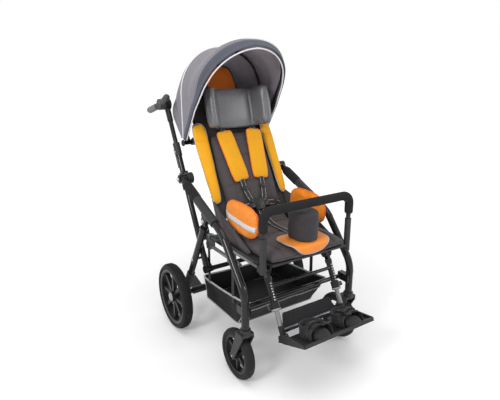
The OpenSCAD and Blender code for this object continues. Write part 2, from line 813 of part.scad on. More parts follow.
module caster_fork(side) {
    top = leg_low_z - free;
    crown = 2 * caster_r + 8;
    color([0.16, 0.16, 0.17]) on_side(side) translate([half_leg, 0, 0]) {
        translate([0, foot_y, top - 1]) cylinder(h = 58, r = 8);
        translate([0, foot_y, crown]) cylinder(h = top - crown, r = 20);
        for (x = [-fork_out, fork_in])
            side_prism(x, x + 5, [[foot_y - 17, crown + 12], [foot_y - 17, crown - 8], [caster_p[0] - 15, caster_r],
                [caster_p[0] + 15, caster_r], [foot_y + 30, crown - 8], [foot_y + 30, crown + 12]]);
        for (x = [-fork_out, fork_in]) across(x, x + 5, caster_p, 15);
        side_prism(-fork_out, fork_out, [[foot_y - 17, crown], [foot_y + 30, crown],
            [foot_y + 30, crown + 12], [foot_y - 17, crown + 12]]);
        across(-fork_out - 2, fork_out + 0, caster_p, 5);
    }
}

module caster_fork_right() {
    caster_fork(-1);
}

module caster_fork_left() {
    caster_fork(1);
}

module caster_tyre(side) {
    color([0.05, 0.05, 0.05]) translate([side * half_leg, caster_p[0], caster_p[1]])
        tyre(caster_r, caster_w, caster_r - 24);
}

module caster_tyre_right() {
    caster_tyre(-1);
}

module caster_tyre_left() {
    caster_tyre(1);
}

module caster_rim(side) {
    rim = caster_r - 24 - touch;
    color([0.3, 0.3, 0.31]) translate([side * half_leg, caster_p[0], caster_p[1]]) rotate([0, 90, 0])
        difference() {
            union() {
                rotate_extrude() translate([rim - 9, -14]) square([9, 28]);
                cylinder(h = 2 * fork_in - 1, r = 17, center = true);
                for (a = [0 : 60 : 300]) rotate([0, 0, a]) translate([10, -6, -7]) cube([rim - 14, 12, 14]);
            }
            cylinder(h = 80, r = 5 + run_gap, center = true);
        }
}

module caster_rim_right() {
    caster_rim(-1);
}

module caster_rim_left() {
    caster_rim(1);
}

// handles

module handle_stem(side) {
    s1 = push_len + stem_show;
    color([0.3, 0.3, 0.31]) on_side(side) difference() {
        union() {
            bar(half_push, on_push(push_len - 180), on_push(s1), stem_r);
            bar(half_push, on_push(s1 - 80), on_push(s1 - 25), 12.5);
            across(half_push - 15, half_push + stem_r + 0.4, on_push(s1), 24);
        }
        across(half_push - 30, half_push + 30, on_push(s1), 6 + run_gap);
    }
}

module handle_stem_right() {
    handle_stem(-1);
}

module handle_stem_left() {
    handle_stem(1);
}

module handle_grip(side) {
    p = on_push(push_len + stem_show);
    x = half_push + stem_r + 0.4 + free;
    c = [x + 14, p[0], p[1]];
    front = c + [0, -74 * cos(push_lean), 74 * sin(push_lean)];
    back = c + [0.36 * grip_len, grip_len * 0.86, -0.36 * grip_len];
    color([0.32, 0.32, 0.33]) on_side(side) {
        across(x, x + 26, p, 24);
        domed(c, front, grip_r);
        domed(c, back, grip_r);
        across(half_push - 17, x + 4, p, 6);
        across(half_push - 18, half_push - 15 - soft, p, 10);
    }
}

module handle_grip_right() {
    handle_grip(-1);
}

module handle_grip_left() {
    handle_grip(1);
}

// feet

module foot_hangers() {
    color([0.4, 0.41, 0.42]) {
        both() difference() {
            union() {
                bar(foot_half, on_foot(34), on_foot(146), foot_r);
                bar(foot_half, on_foot(27), on_foot(42), foot_r + 2);
                across(foot_half - 7.8, foot_half + 7.8, hang_p, 15);
                slant_box(foot_half - 6.8, foot_half + 6.8, on_foot(21), foot_lean, 26, 20);
                bar(foot_half, on_foot(118), on_foot(152), foot_r + 5);
                across(foot_half + 10, foot_half + 30, on_foot(134), 9);
            }
            across(foot_half - 20, foot_half + 20, hang_p, 5 + run_gap);
            bar(foot_half, on_foot(46), on_foot(170), foot_r - 3 + run_gap);
        }
        across(-foot_half + foot_r - 2, foot_half - foot_r + 2, on_foot(62), 7);
    }
}

module foot_slides() {
    color([0.3, 0.3, 0.31]) {
        both() difference() {
            union() {
                bar(foot_half, on_foot(100), on_foot(slide_end - 8), foot_r - 3);
                across(foot_half - 10, foot_half + 10, plate_p, 12);
            }
            across(foot_half - 30, foot_half + 30, plate_p, 5 + run_gap);
        }
        across(-foot_half + foot_r - 5, foot_half - foot_r + 5, on_foot(slide_end - 26), 6);
    }
}

// places a piece on the raised footplate: local -Y to the toes, local Z out of the plate
module plate_frame() {
    translate([0, plate_p[0], plate_p[1]]) rotate([-plate_deg, 0, 0]) children();
}

module footplate() {
    color([0.06, 0.06, 0.06]) plate_frame() {
        difference() {
            union() {
                translate([-plate_w / 2, -plate_len, -16]) cube([plate_w, plate_len - 14, 10]);
                translate([-plate_w / 2, -30, -16]) cube([plate_w, 50, 3]);
                both() side_prism(plate_w / 2 - 3, plate_w / 2 + 3,
                    [[-plate_len, -16], [-14, -16], [-14, 18], [-44, 18], [-plate_len, -3]]);
                translate([-plate_w / 2, -plate_len - 3, -16]) cube([plate_w, 6, 13]);
            }
            for (y = [-120 : 22 : -40]) translate([-120, y, -9]) cube([240, 8, 10]);
        }
        both() for (x = [foot_half - 16, foot_half + 10.4]) {
            translate([x, 0, 0]) {
                across(0, 5.6, [0, 0], 12);
                translate([0, -12, -14]) cube([5.6, 24, 14]);
            }
        }
        both() across(foot_half - 17, foot_half + 17, [0, 0], 5);
    }
}

module foot_straps() {
    color([0.08, 0.08, 0.08]) plate_frame() both() {
        translate([76, -86, -6 + soft]) difference() {
            cylinder(h = 46, r = 47);
            translate([0, 0, -1]) cylinder(h = 48, r = 43);
            translate([-60, -120, -1]) cube([120, 100, 60]);
        }
        translate([76, -134, -6 + soft]) difference() {
            translate([-48, 0, 0]) cube([96, 26, 46]);
            translate([-44, -1, -1]) cube([88, 28, 43]);
        }
    }
}

// bumper bar

module bumper_bar() {
    p = [[-socket_x, seat_z + 40], [-socket_x, bump_z], [socket_x, bump_z], [socket_x, seat_z + 40]];
    color([0.06, 0.06, 0.06]) translate([0, socket_y, 0]) rotate([90, 0, 0]) bent(p, 62, bump_r);
}

module bumper_foam() {
    low = seat_z + 144;
    p = [[-socket_x, low], [-socket_x, bump_z], [socket_x, bump_z], [socket_x, low]];
    pc = [[-socket_x, low - 5], [-socket_x, bump_z], [socket_x, bump_z], [socket_x, low - 5]];
    color([0.15, 0.15, 0.15]) translate([0, socket_y, 0]) rotate([90, 0, 0]) difference() {
        bent(p, 62, bump_r + 8);
        bent(pc, 62, bump_r + touch);
    }
}

// pelvic supports

module hip_pads() {
    color([0.9, 0.45, 0.1]) both()
        translate([150, -98, pad_z + seat_pad_t + 61.3]) rotate([0, 90, 0]) rotate([0, 0, 90])
            pad(236, 142, 32, 12, 14, 12, 0, 0, 0.42, 0, 9);
}

module abduction_block() {
    color([0.2, 0.19, 0.19]) translate([0, -282, flap_z + flap_t + soft]) {
        cylinder(h = 112, r = 50);
        translate([-49.5, 0, 0]) cube([99, 36, 112]);
    }
}

push_tubes();
knuckles();
stem_clamps();
lower_cross_tube();
union() {
    seat_brackets();
    back_hinges();
}
seat_rails();
rail_fronts();
seat_board();
seat_braces();
bumper_sockets();
seat_cushion();
seat_flap();
basket();
back_tubes();
back_panel();
back_cushion();
head_panel();
side_pad_right();
side_pad_left();
shoulder_pads();
harness_straps();
harness_buckle();
hood_brackets();
hood_rear_bow();
hood_cover();
hood_front_bow();
hood_mid_bow();
headrest_stem();
headrest_pad();
front_legs();
armrest_pads();
elbow_sleeves();
front_cross_tube();
rear_legs();
wheel_brackets();
rear_axle();
brake_pedal();
fold_links();
rear_tyre_right();
rear_tyre_left();
rear_rim_right();
rear_rim_left();
caster_fork_right();
caster_fork_left();
caster_tyre_right();
caster_tyre_left();
caster_rim_right();
caster_rim_left();
handle_stem_right();
handle_stem_left();
handle_grip_right();
handle_grip_left();
foot_hangers();
foot_slides();
footplate();
foot_straps();
bumper_bar();
bumper_foam();
hip_pads();
abduction_block();
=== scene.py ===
from functools import cache
from math import acos, atan2, copysign, cos, degrees, pi, radians, sin, sqrt, tan

import bmesh
import bpy
import numpy as np
from mathutils import Matrix, Vector
from mathutils.bvhtree import BVHTree


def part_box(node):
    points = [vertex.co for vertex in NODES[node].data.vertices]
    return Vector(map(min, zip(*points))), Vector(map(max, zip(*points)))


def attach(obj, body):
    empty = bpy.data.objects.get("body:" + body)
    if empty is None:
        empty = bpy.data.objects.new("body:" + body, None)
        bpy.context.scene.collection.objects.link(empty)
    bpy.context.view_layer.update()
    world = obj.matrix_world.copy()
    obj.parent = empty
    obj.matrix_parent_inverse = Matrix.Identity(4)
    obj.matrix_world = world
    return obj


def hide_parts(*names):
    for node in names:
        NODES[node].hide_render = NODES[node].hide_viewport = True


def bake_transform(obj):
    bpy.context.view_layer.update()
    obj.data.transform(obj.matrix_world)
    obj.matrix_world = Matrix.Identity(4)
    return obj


bl_info = {
    "name": "Special needs buggy",
    "version": (1, 0, 0),
    "blender": (4, 5, 0),
    "location": "View3D > Sidebar > Buggy",
    "description": "Dresses the packed buggy frame with soft goods, wheels, trim and finishes",
    "category": "Object",
}

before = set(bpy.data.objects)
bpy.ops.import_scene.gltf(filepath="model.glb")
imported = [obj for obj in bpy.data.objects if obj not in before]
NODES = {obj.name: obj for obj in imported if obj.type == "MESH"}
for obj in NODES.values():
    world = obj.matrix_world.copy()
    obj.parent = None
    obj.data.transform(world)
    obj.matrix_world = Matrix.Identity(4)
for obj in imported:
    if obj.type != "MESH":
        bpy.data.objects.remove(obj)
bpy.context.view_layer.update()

SIDES = ((-1, "right"), (1, "left"))
X_AXIS = (1, 0, 0)
DOWN = (0, 0, -1)
# The back frame: hinge line of the backrest and its lean.
HINGE = Vector((0.0, 0.049, 0.5))
BACK_LEAN = radians(28.5)
BACK = Matrix.Translation(HINGE) @ Matrix.Rotation(-BACK_LEAN, 4, "X")
# The harness lies on the back cushion's front, at this depth in the back frame.
HARNESS_Y = -0.0173 - 0.0445
# The hood's bow pivot, and its sections as angle forward, reach and corner radius.
HOOD_PIVOT = Vector((0.0, 0.305, 0.838))
HOOD_ROWS = (
    (-42, 0.280, 0.163), (-34, 0.296, 0.169), (-20, 0.335, 0.181), (-4, 0.390, 0.195),
    (0, 0.3925, 0.195), (3, 0.3935, 0.195), (15, 0.408, 0.195), (27, 0.472, 0.195),
    (31, 0.480, 0.195), (34, 0.472, 0.195),
)
HOOD_REAR, HOOD_MID, HOOD_FRONT = -42, 0, 34
HOOD_BAND_FROM = 30.2
BRIM_TAPER = 0.018
# The footplate's place and slope, and the foot tubes' line.
PLATE_SLOPE = radians(21.0)
PLATE = Matrix.Translation((0, -0.3593, 0.2075)) @ Matrix.Rotation(-PLATE_SLOPE, 4, "X")
FOOT_LEAN = radians(28.0)
FOOT_TOP = np.array((0.0, -0.241, 0.430))
FOOT_X = 0.150
FOOT_DOWN = np.array((0, -sin(FOOT_LEAN), -cos(FOOT_LEAN)))
FOOT_FRONT = np.array((0, -cos(FOOT_LEAN), sin(FOOT_LEAN)))
HEAD_TILT = radians(14.0)
# The armrests' line, from the fold pivot down to the front.
ARM_START = Vector((0, 0.2221, 0.7002))
ARM_SLOPE = radians(23.2)
CAMERA_SPOT = Vector((-1.022, -1.484, 1.152))
CAMERA_TURN = radians(-32.9)
CAMERA_RISE = radians(16.5)
CAMERA_ROLL = radians(-0.2)
# Sewing: how far stitches stand beside a seam and above the cloth, and the piping's step.
SEAM_SIDES = (-0.0045, 0.0045)
STITCH_LIFT = 0.0004
PIPE_STEP = 0.006


# Mesh helpers

def piece(name, verts, faces, material=None, uv=None):
    """A new smooth mesh object at the origin, with its place in its points."""
    mesh = bpy.data.meshes.new(name)
    mesh.from_pydata([tuple(map(float, v)) for v in verts], [], [tuple(map(int, f)) for f in faces])
    if uv is not None:
        layer = mesh.uv_layers.new(name="UVMap")
        index = np.zeros(len(mesh.loops), np.int32)
        mesh.loops.foreach_get("vertex_index", index)
        layer.data.foreach_set("uv", np.asarray(uv, np.float32)[index].ravel())
    mesh.update()
    obj = linked(name, mesh)
    smoothed(obj)
    if material is not None:
        mesh.materials.append(finish(material) if isinstance(material, str) else material)
    return obj


def linked(name, data):
    obj = bpy.data.objects.new(name, data)
    bpy.context.scene.collection.objects.link(obj)
    return obj


def smoothed(obj, on=True):
    obj.data.polygons.foreach_set("use_smooth", [on] * len(obj.data.polygons))
    return obj


def points_of(obj):
    co = np.zeros(len(obj.data.vertices) * 3, np.float32)
    obj.data.vertices.foreach_get("co", co)
    return co.reshape(-1, 3).astype(float)


def set_points(obj, co):
    obj.data.vertices.foreach_set("co", np.asarray(co, np.float32).ravel())
    obj.data.update()


def normals_of(obj):
    no = np.zeros(len(obj.data.vertices) * 3, np.float32)
    obj.data.vertex_normals.foreach_get("vector", no)
    return no.reshape(-1, 3).astype(float)


def tidy(obj, merge=0.00005):
    """Merges doubles and turns every face outwards."""
    bm = bmesh.new()
    bm.from_mesh(obj.data)
    bmesh.ops.remove_doubles(bm, verts=bm.verts, dist=merge)
    bmesh.ops.recalc_face_normals(bm, faces=bm.faces)
    bm.to_mesh(obj.data)
    bm.free()
    obj.data.update()
    return obj


def modifier(obj, name, kind, **settings):
    m = obj.modifiers.new(name, kind)
    for key, value in settings.items():
        setattr(m, key, value)
    return m


def settle(obj):
    """Turns an object's modifiers into a plain mesh."""
    graph = bpy.context.evaluated_depsgraph_get()
    graph.update()
    mesh = bpy.data.meshes.new_from_object(obj.evaluated_get(graph), depsgraph=graph)
    obj.modifiers.clear()
    old = obj.data
    obj.data = mesh
    mesh.name = obj.name
    if old.users == 0:
        bpy.data.meshes.remove(old)
    return obj


def subdivide(obj):
    modifier(obj, "smooth", "SUBSURF", levels=1, render_levels=1)
    return smoothed(settle(obj))


def bevelled(obj, width, segments):
    modifier(obj, "edge", "BEVEL", width=width, segments=segments, limit_method="ANGLE",
             angle_limit=radians(35), harden_normals=False)
    return settle(obj)


def merged(name, parts):
    """One object from several, with their materials."""
    first = parts[0]
    if len(parts) > 1:
        with bpy.context.temp_override(active_object=first, object=first, selected_objects=parts,
                                       selected_editable_objects=parts):
            bpy.ops.object.join()
    first.name = name
    first.data.name = name
    return first


def mirrored(obj, name):
    """A copy on the other side of the middle plane, with its faces outwards."""
    mesh = obj.data.copy()
    mesh.transform(Matrix.Scale(-1, 4, X_AXIS))
    mesh.flip_normals()
    mesh.name = name
    return linked(name, mesh)


def placed(obj, matrix):
    obj.data.transform(matrix)
    obj.data.update()
    return obj


def through(matrix, pts):
    m = np.array(matrix)
    return np.asarray(pts, float) @ m[:3, :3].T + m[:3, 3]


def outward(matrix):
    """A frame's own Z axis."""
    return np.array(matrix.to_3x3() @ Vector((0, 0, 1)))


def height_in(matrix, co):
    """Each point's height along a frame's own Z axis."""
    inv = np.array(matrix.inverted())
    return co @ inv[2, :3] + inv[2, 3]


def unit(v):
    return v / np.maximum(np.linalg.norm(v, axis=-1, keepdims=True), 1e-12)


def lengths(path):
    """Distance from the start at each point of a path."""
    return np.r_[0, np.cumsum(np.linalg.norm(np.diff(path, axis=0), axis=1))]


def at_lengths(path, d, s):
    return np.column_stack([np.interp(s, d, path[:, k]) for k in range(3)])


def resampled(path, step, closed=False):
    p = np.asarray(path, float)
    if closed:
        p = np.vstack([p, p[:1]])
    d = lengths(p)
    n = max(2, int(round(d[-1] / step)) + 1)
    out = at_lengths(p, d, np.linspace(0, d[-1], n))
    return out[:-1] if closed else out


def filleted(points, radius, step):
    """A path through points with each inner corner rounded."""
    p = [np.asarray(q, float) for q in points]
    out = [p[0]]
    for a, b, c in zip(p[:-2], p[1:-1], p[2:]):
        u, v = unit(a - b), unit(c - b)
        half = acos(max(-1, min(1, float(u @ v)))) / 2
        cut = min(radius / tan(half), 0.49 * np.linalg.norm(a - b), 0.49 * np.linalg.norm(c - b))
        r = cut * tan(half)
        mid = b + unit(u + v) * (r / sin(half))
        s, e = b + u * cut, b + v * cut
        x = (s - mid) / r
        y = unit(e - mid - x * float((e - mid) @ x))
        for t in np.linspace(0, pi - 2 * half, 13):
            out.append(mid + r * (cos(t) * x + sin(t) * y))
    out.append(p[-1])
    return resampled(out, step)


def smooth_path(points, step):
    """A smooth curve through points."""
    p = np.asarray(points, float)
    out = []
    for k in range(len(p) - 1):
        p0, p1, p2, p3 = p[max(k - 1, 0)], p[k], p[k + 1], p[min(k + 2, len(p) - 1)]
        for t in np.linspace(0, 1, 24, endpoint=False):
            out.append(0.5 * (2 * p1 + (p2 - p0) * t + (2 * p0 - 5 * p1 + 4 * p2 - p3) * t * t
                              + (3 * p1 - p0 - 3 * p2 + p3) * t ** 3))
    out.append(p[-1])
    return resampled(out, step)


def eased(ring):
    """A closed line with its small kinks smoothed."""
    for _ in range(3):
        ring = (np.roll(ring, 1, 0) + 2 * ring + np.roll(ring, -1, 0)) / 4
    return ring


def travel(path, closed=False, up=(0, 0, 1)):
    """Tangent, side and normal at each point of a path, carried along without twist."""
    p = np.asarray(path, float)
    t = unit(np.roll(p, -1, 0) - np.roll(p, 1, 0) if closed else np.gradient(p, axis=0))
    n = np.array(up, float)
    if abs(n @ t[0]) > 0.95:
        n = np.array((0, 1, 0) if abs(t[0][1]) < 0.9 else X_AXIS, float)
    normals = []
    n = unit(n - t[0] * (n @ t[0]))
    for way in t:
        n = unit(n - way * (n @ way))
        normals.append(n)
    n = np.array(normals)
    return t, np.cross(n, t), n


def ring_faces(rows, n, closed=False):
    """Faces between rings of n points, with end caps unless the last ring meets the first."""
    faces = [(i * n + k, i * n + (k + 1) % n, (i + 1) % rows * n + (k + 1) % n, (i + 1) % rows * n + k)
             for i in range(rows if closed else rows - 1) for k in range(n)]
    if not closed:
        faces += [tuple(range(n - 1, -1, -1)), tuple((rows - 1) * n + k for k in range(n))]
    return faces


def tube(name, path, radius, material, sides=12, closed=False, flat=1.0, up=(0, 0, 1)):
    """A round or flattened tube along a path, with domed ends."""
    p = np.asarray(path, float)
    t, s, n = travel(p, closed, up)
    r = np.full(len(p), radius, float) if np.isscalar(radius) else np.asarray(radius, float)
    ang = np.linspace(0, 2 * pi, sides, endpoint=False)
    rings = [c + rr * (np.cos(ang)[:, None] * ss + flat * np.sin(ang)[:, None] * nn)
             for c, rr, ss, nn in zip(p, r, s, n)]
    if not closed:
        head, tail = [], []
        for k in (0.35, 0.7, 0.93):
            f = sqrt(1 - k * k)
            head.insert(0, p[0] + (rings[0] - p[0]) * f - t[0] * r[0] * k * 0.6)
            tail.append(p[-1] + (rings[-1] - p[-1]) * f + t[-1] * r[-1] * k * 0.6)
        rings = head + rings + tail
    return tidy(piece(name, np.vstack(rings), ring_faces(len(rings), sides, closed), material), 1e-7)


def strap(name, path, across, width, thick, material):
    """A flat web along a path. Its map runs 0 to 1 across and in metres along."""
    p = np.asarray(path, float)
    t = unit(np.gradient(p, axis=0))
    a = np.tile(np.asarray(across, float), (len(p), 1))
    a = unit(a - t * np.sum(a * t, 1)[:, None])
    n = np.cross(t, a)
    w, h, c = width / 2, thick / 2, min(thick * 0.35, 0.0008)
    half = [(-w + c, -h), (-w * 0.5, -h), (0, -h), (w * 0.5, -h), (w - c, -h), (w, -h + c), (w, h - c)]
    sec = half + [(-x, -z) for x, z in half]
    d = lengths(p)
    verts = [p[i] + a[i] * x + n[i] * z for i in range(len(p)) for x, z in sec]
    uv = [(x / width + 0.5, d[i]) for i in range(len(p)) for x, z in sec]
    return tidy(piece(name, verts, ring_faces(len(p), len(sec)), material, uv), 1e-7)


def block(name, size, matrix, material, bevel):
    """A moulded block with softened edges."""
    x, y, z = (s / 2 for s in size)
    v = [(-x, -y, -z), (x, -y, -z), (x, y, -z), (-x, y, -z), (-x, -y, z), (x, -y, z), (x, y, z), (-x, y, z)]
    f = [(3, 2, 1, 0), (4, 5, 6, 7), (0, 1, 5, 4), (1, 2, 6, 5), (2, 3, 7, 6), (3, 0, 4, 7)]
    return placed(bevelled(piece(name, v, f, material), bevel, 3), matrix)


def lathe(name, profile, centre, axis, material, sides, closed=False):
    """A turned shape: profile points are radius and distance along the axis."""
    turn = Vector(axis).normalized().to_track_quat("Z", "Y").to_matrix().to_4x4()
    verts, faces = [], []
    n = len(profile)
    for i in range(sides):
        a = 2 * pi * i / sides
        verts += [(r * cos(a), r * sin(a), h) for r, h in profile]
        j = (i + 1) % sides
        for k in range(n if closed else n - 1):
            q = (k + 1) % n
            faces.append((i * n + k, j * n + k, j * n + q, i * n + q))
    return tidy(placed(piece(name, verts, faces, material), Matrix.Translation(Vector(centre)) @ turn), 1e-6)


def grid_faces(n, m, base=0, flip=False):
    out = []
    for i in range(n - 1):
        for j in range(m - 1):
            a = base + i * m + j
            q = (a, a + 1, a + m + 1, a + m)
            out.append(q[::-1] if flip else q)
    return out


def grid_rim(n, m):
    """Point numbers round the edge of a grid."""
    rim = list(range(m)) + [i * m + m - 1 for i in range(1, n)]
    rim += [(n - 1) * m + j for j in range(m - 2, -1, -1)]
    return rim + [i * m for i in range(n - 2, 0, -1)]


def shell(name, outer, inner, material):
    """A closed thin shell between two grids of points."""
    n, m = outer.shape[:2]
    k = n * m
    faces = grid_faces(n, m) + grid_faces(n, m, k, True)
    rim = grid_rim(n, m)
    for a, b in zip(rim, rim[1:] + rim[:1]):
        faces.append((b, a, k + a, k + b))
    verts = np.vstack([outer.reshape(-1, 3), inner.reshape(-1, 3)])
    return tidy(piece(name, verts, faces, material), 1e-7)


class Skin:
    """The surface of a finished piece, to lay seams and trim on."""

    def __init__(self, obj):
        mesh = obj.data
        self.tree = BVHTree.FromPolygons([v.co.copy() for v in mesh.vertices],
                                         [tuple(p.vertices) for p in mesh.polygons])

    def near(self, pts, lift=0.0):
        out = []
        for p in np.asarray(pts, float):
            at, no = self.tree.find_nearest(Vector(p))[:2]
            out.append(np.array(at) + lift * np.array(no))
        return np.array(out)

    def cast(self, pts, way, lift=0.0):
        """Each point moved along way to the surface it meets first, or to the nearest one."""
        out = []
        for p in np.asarray(pts, float):
            at, no = self.tree.ray_cast(Vector(p), Vector(way))[:2]
            if at is None:
                at, no = self.tree.find_nearest(Vector(p))[:2]
            out.append(np.array(at) + lift * np.array(no))
        return np.array(out)


def laid(name, skin, grid, way, lift, thick, material):
    """A thin patch laid on a pad's surface."""
    top = skin.cast(grid.reshape(-1, 3), way, lift).reshape(grid.shape)
    return shell(name, top, top + np.asarray(way) * thick, material)


def ringed(name, skin, loop, radius, material, step=PIPE_STEP, lift=0.0):
    """Piping sewn round a pad's edge."""
    return tube(name, eased(skin.near(resampled(loop, step, True), lift)), radius, material, 8, closed=True)


def line_distance(co, runs, step):
    """Each point's distance to the nearest of some sewn lines."""
    line = np.vstack([resampled(r, step) for r in runs])
    best = np.full(len(co), 9.0)
    for k in range(0, len(line), 64):
        best = np.minimum(best, np.linalg.norm(co[:, None, :] - line[None, k:k + 64, :], axis=2).min(1))
    return best


def near_lines(runs, reach):
    """A test for points close to sewn lines, for holding them while a pad fills."""
    return lambda co: line_distance(co, runs, reach) < reach


def sunk(obj, runs, width, depth):
    """Presses sewn lines into a padded piece."""
    co = points_of(obj)
    far = line_distance(co, runs, width * 0.5)
    set_points(obj, co - normals_of(obj) * (depth * np.exp(-(far / width) ** 2))[:, None])


def crown(w, l, t, edge, nu, nv, pull=0.3, curl=None, under=0.0, flat=False, rear=1.0, power=None):
    """A closed crowned pad over the XY plane whose sides pull in, or whose outline is a rounded oblong of a power."""
    U, V = np.meshgrid(np.linspace(-1, 1, nu + 1), np.linspace(-1, 1, nv + 1), indexing="ij")
    X = w / 2 * U * np.sqrt(1 - pull * V * V / 2)
    Y = l / 2 * V * np.sqrt(1 - pull * U * U / 2)
    if power:
        size = (np.abs(U) ** power + np.abs(V) ** power) ** (1 / power)
        fit = np.maximum(np.abs(U), np.abs(V)) / np.maximum(size, 1e-9)
        X, Y = w / 2 * U * fit, l / 2 * V * fit
    full = np.sqrt(np.clip((1 - U ** 4) * (1 - V ** 4), 0, 1))
    lift = curl(np.abs(U)) if curl else np.zeros_like(U)
    side = edge * (1.0 if flat else 0.5)
    top = side + (t - side) * full + lift
    low = under * (1 - full) + lift * rear
    if not flat:
        low = np.minimum(low + (side - 0.0005) * (1 - full) ** 2, top)
    m = nv + 1
    k = (nu + 1) * m
    faces = []
    for i in range(nu):
        for j in range(nv):
            a, b, c, d = i * m + j, (i + 1) * m + j, (i + 1) * m + j + 1, i * m + j + 1
            faces += [(a, b, c, d), (k + a, k + d, k + c, k + b)]
    rim = [i * m for i in range(nu)] + [nu * m + j for j in range(nv)]
    rim += [(nu - i) * m + nv for i in range(nu)] + [nv - j for j in range(nv)]
    for a, b in zip(rim, rim[1:] + rim[:1]):
        faces.append((a, k + a, k + b, b))
    flats = [np.column_stack([X.ravel(), Y.ravel(), Z.ravel()]) for Z in (top, low)]
    return np.vstack(flats), faces, (flats[0][rim] + flats[1][rim]) / 2


CLOTH = {"quality": 4, "mass": 0.2, "tension_stiffness": 12, "compression_stiffness": 12, "shear_stiffness": 5,
         "bending_stiffness": 0.6, "use_pressure": True}
CLOTH_FRAMES = 20


def puffed(obj, voxel, pressure, cap, hold, shrink):
    """Remeshes a pad, fills it with air as cloth, and keeps each point near its place."""
    set_points(obj, points_of(obj) - normals_of(obj) * shrink)
    modifier(obj, "even", "REMESH", mode="VOXEL", voxel_size=voxel)
    modifier(obj, "calm", "SMOOTH", factor=0.5, iterations=5)
    settle(obj)
    rest = points_of(obj)
    group = obj.vertex_groups.new(name="hold")
    group.add([int(i) for i in np.nonzero(hold(rest))[0]], 1.0, "REPLACE")
    m = modifier(obj, "air", "CLOTH")
    for key, value in CLOTH.items():
        setattr(m.settings, key, value)
    m.settings.uniform_pressure_force = pressure
    m.settings.effector_weights.gravity = 0
    m.settings.vertex_group_mass = "hold"
    m.collision_settings.use_collision = False
    m.collision_settings.use_self_collision = False
    m.point_cache.frame_start = 1
    m.point_cache.frame_end = CLOTH_FRAMES
    for f in range(1, CLOTH_FRAMES + 1):
        bpy.context.scene.frame_set(f)
    settle(obj)
    bpy.context.scene.frame_set(1)
    obj.vertex_groups.clear()
    move = points_of(obj) - rest
    far = np.linalg.norm(move, axis=1)
    set_points(obj, rest + move * np.minimum(1, cap / np.maximum(far, 1e-9))[:, None])
    modifier(obj, "ease", "SMOOTH", factor=0.5, iterations=6)
    settle(obj)
    return subdivide(obj)


def sizes():
    return bpy.context.scene.buggy_sizes


def area_of(obj):
    return sum(p.area for p in obj.data.polygons)


def declared_sheet(obj, grid):
    """Measures a sheet's width, length and area; it keeps nothing of them."""
    width = max(lengths(row)[-1] for row in grid)
    length = max(lengths(grid[:, j])[-1] for j in range(grid.shape[1]))
    area = area_of(obj) / 2
    length = max(length, area / width * 1.01)


def carried(obj, body, node=None):
    """Lets a piece ride on a body. It may stand for a node, which it hides."""
    if node:
        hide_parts(node)
    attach(obj, body)


def paired(parts, body, nodes, fill):
    """Adds the right hand twin of each left hand part. The first part is the pad that stands for the nodes."""
    for obj, slot in parts:
        other = mirrored(obj, obj.name.replace("left", "right"))
        for o, node in zip((obj, other), nodes):
            carried(o, body, node)
        nodes, fill = (None, None), None


# Node trees

FLOAT, VECTOR, MESH = "NodeSocketFloat", "NodeSocketVector", "NodeSocketGeometry"
SOCKETS = {float: FLOAT, int: "NodeSocketInt", tuple: VECTOR}


class Graph:
    """A node tree with short ways to add nodes and to wire or set their inputs."""

    def __init__(self, tree):
        self.tree, self.nodes, self.links = tree, tree.nodes, tree.links

    def feed(self, socket, value):
        if isinstance(value, bpy.types.NodeSocket):
            self.links.new(value, socket)
        elif value is not None:
            socket.default_value = value

    def node(self, kind, inputs=None, **settings):
        n = self.nodes.new(kind)
        for key, value in settings.items():
            setattr(n, key, value)
        for key, value in (inputs or {}).items():
            self.feed(n.inputs[key], value)
        return n

    def math(self, operation, *values):
        return self.node("ShaderNodeMath", dict(enumerate(values)), operation=operation).outputs[0]

    def xyz(self, *values):
        return self.node("ShaderNodeCombineXYZ", dict(enumerate(values))).outputs[0]


def node_group(name, kind, inputs, outputs):
    """A new node group. An input is given by its default, or by the type of a socket without one."""
    g = Graph(bpy.data.node_groups.new(name, kind))
    for label, value in inputs.items():
        plain = isinstance(value, str)
        s = g.tree.interface.new_socket(label, in_out="INPUT", socket_type=value if plain else SOCKETS[type(value)])
        if not plain:
            s.default_value = value
    for label, socket in outputs.items():
        g.tree.interface.new_socket(label, in_out="OUTPUT", socket_type=socket)
    g.given = g.nodes.new("NodeGroupInput").outputs
    g.made = g.nodes.new("NodeGroupOutput").inputs
    return g


def growth(name, **inputs):
    """A geometry tree that takes points or edges."""
    inputs = {"Geometry": MESH, **inputs, "Material": "NodeSocketMaterial"}
    return node_group(name, "GeometryNodeTree", inputs, {"Geometry": MESH})


def turned_to(g, way):
    return g.node("FunctionNodeAlignRotationToVector", {"Vector": way}, axis="Z").outputs[0]


def along_edges(g):
    """Even points along the given edges, and the turn that follows them."""
    curve = g.node("GeometryNodeMeshToCurve", {"Mesh": g.given["Geometry"]})
    even = g.node("GeometryNodeResampleCurve", {"Curve": curve.outputs[0], "Length": g.given["Pitch"]}, mode="LENGTH")
    return even.outputs[0], turned_to(g, g.node("GeometryNodeInputTangent").outputs[0])


def instanced(g, points, part, turn, scale=None):
    """Closes a tree with a part on each point."""
    on = g.node("GeometryNodeInstanceOnPoints", {"Points": points, "Instance": part, "Rotation": turn, "Scale": scale})
    real = g.node("GeometryNodeRealizeInstances", {0: on.outputs[0]})
    paint = g.node("GeometryNodeSetMaterial", {"Geometry": real.outputs[0], "Material": g.given["Material"]})
    g.feed(g.made[0], paint.outputs[0])
    return g.tree


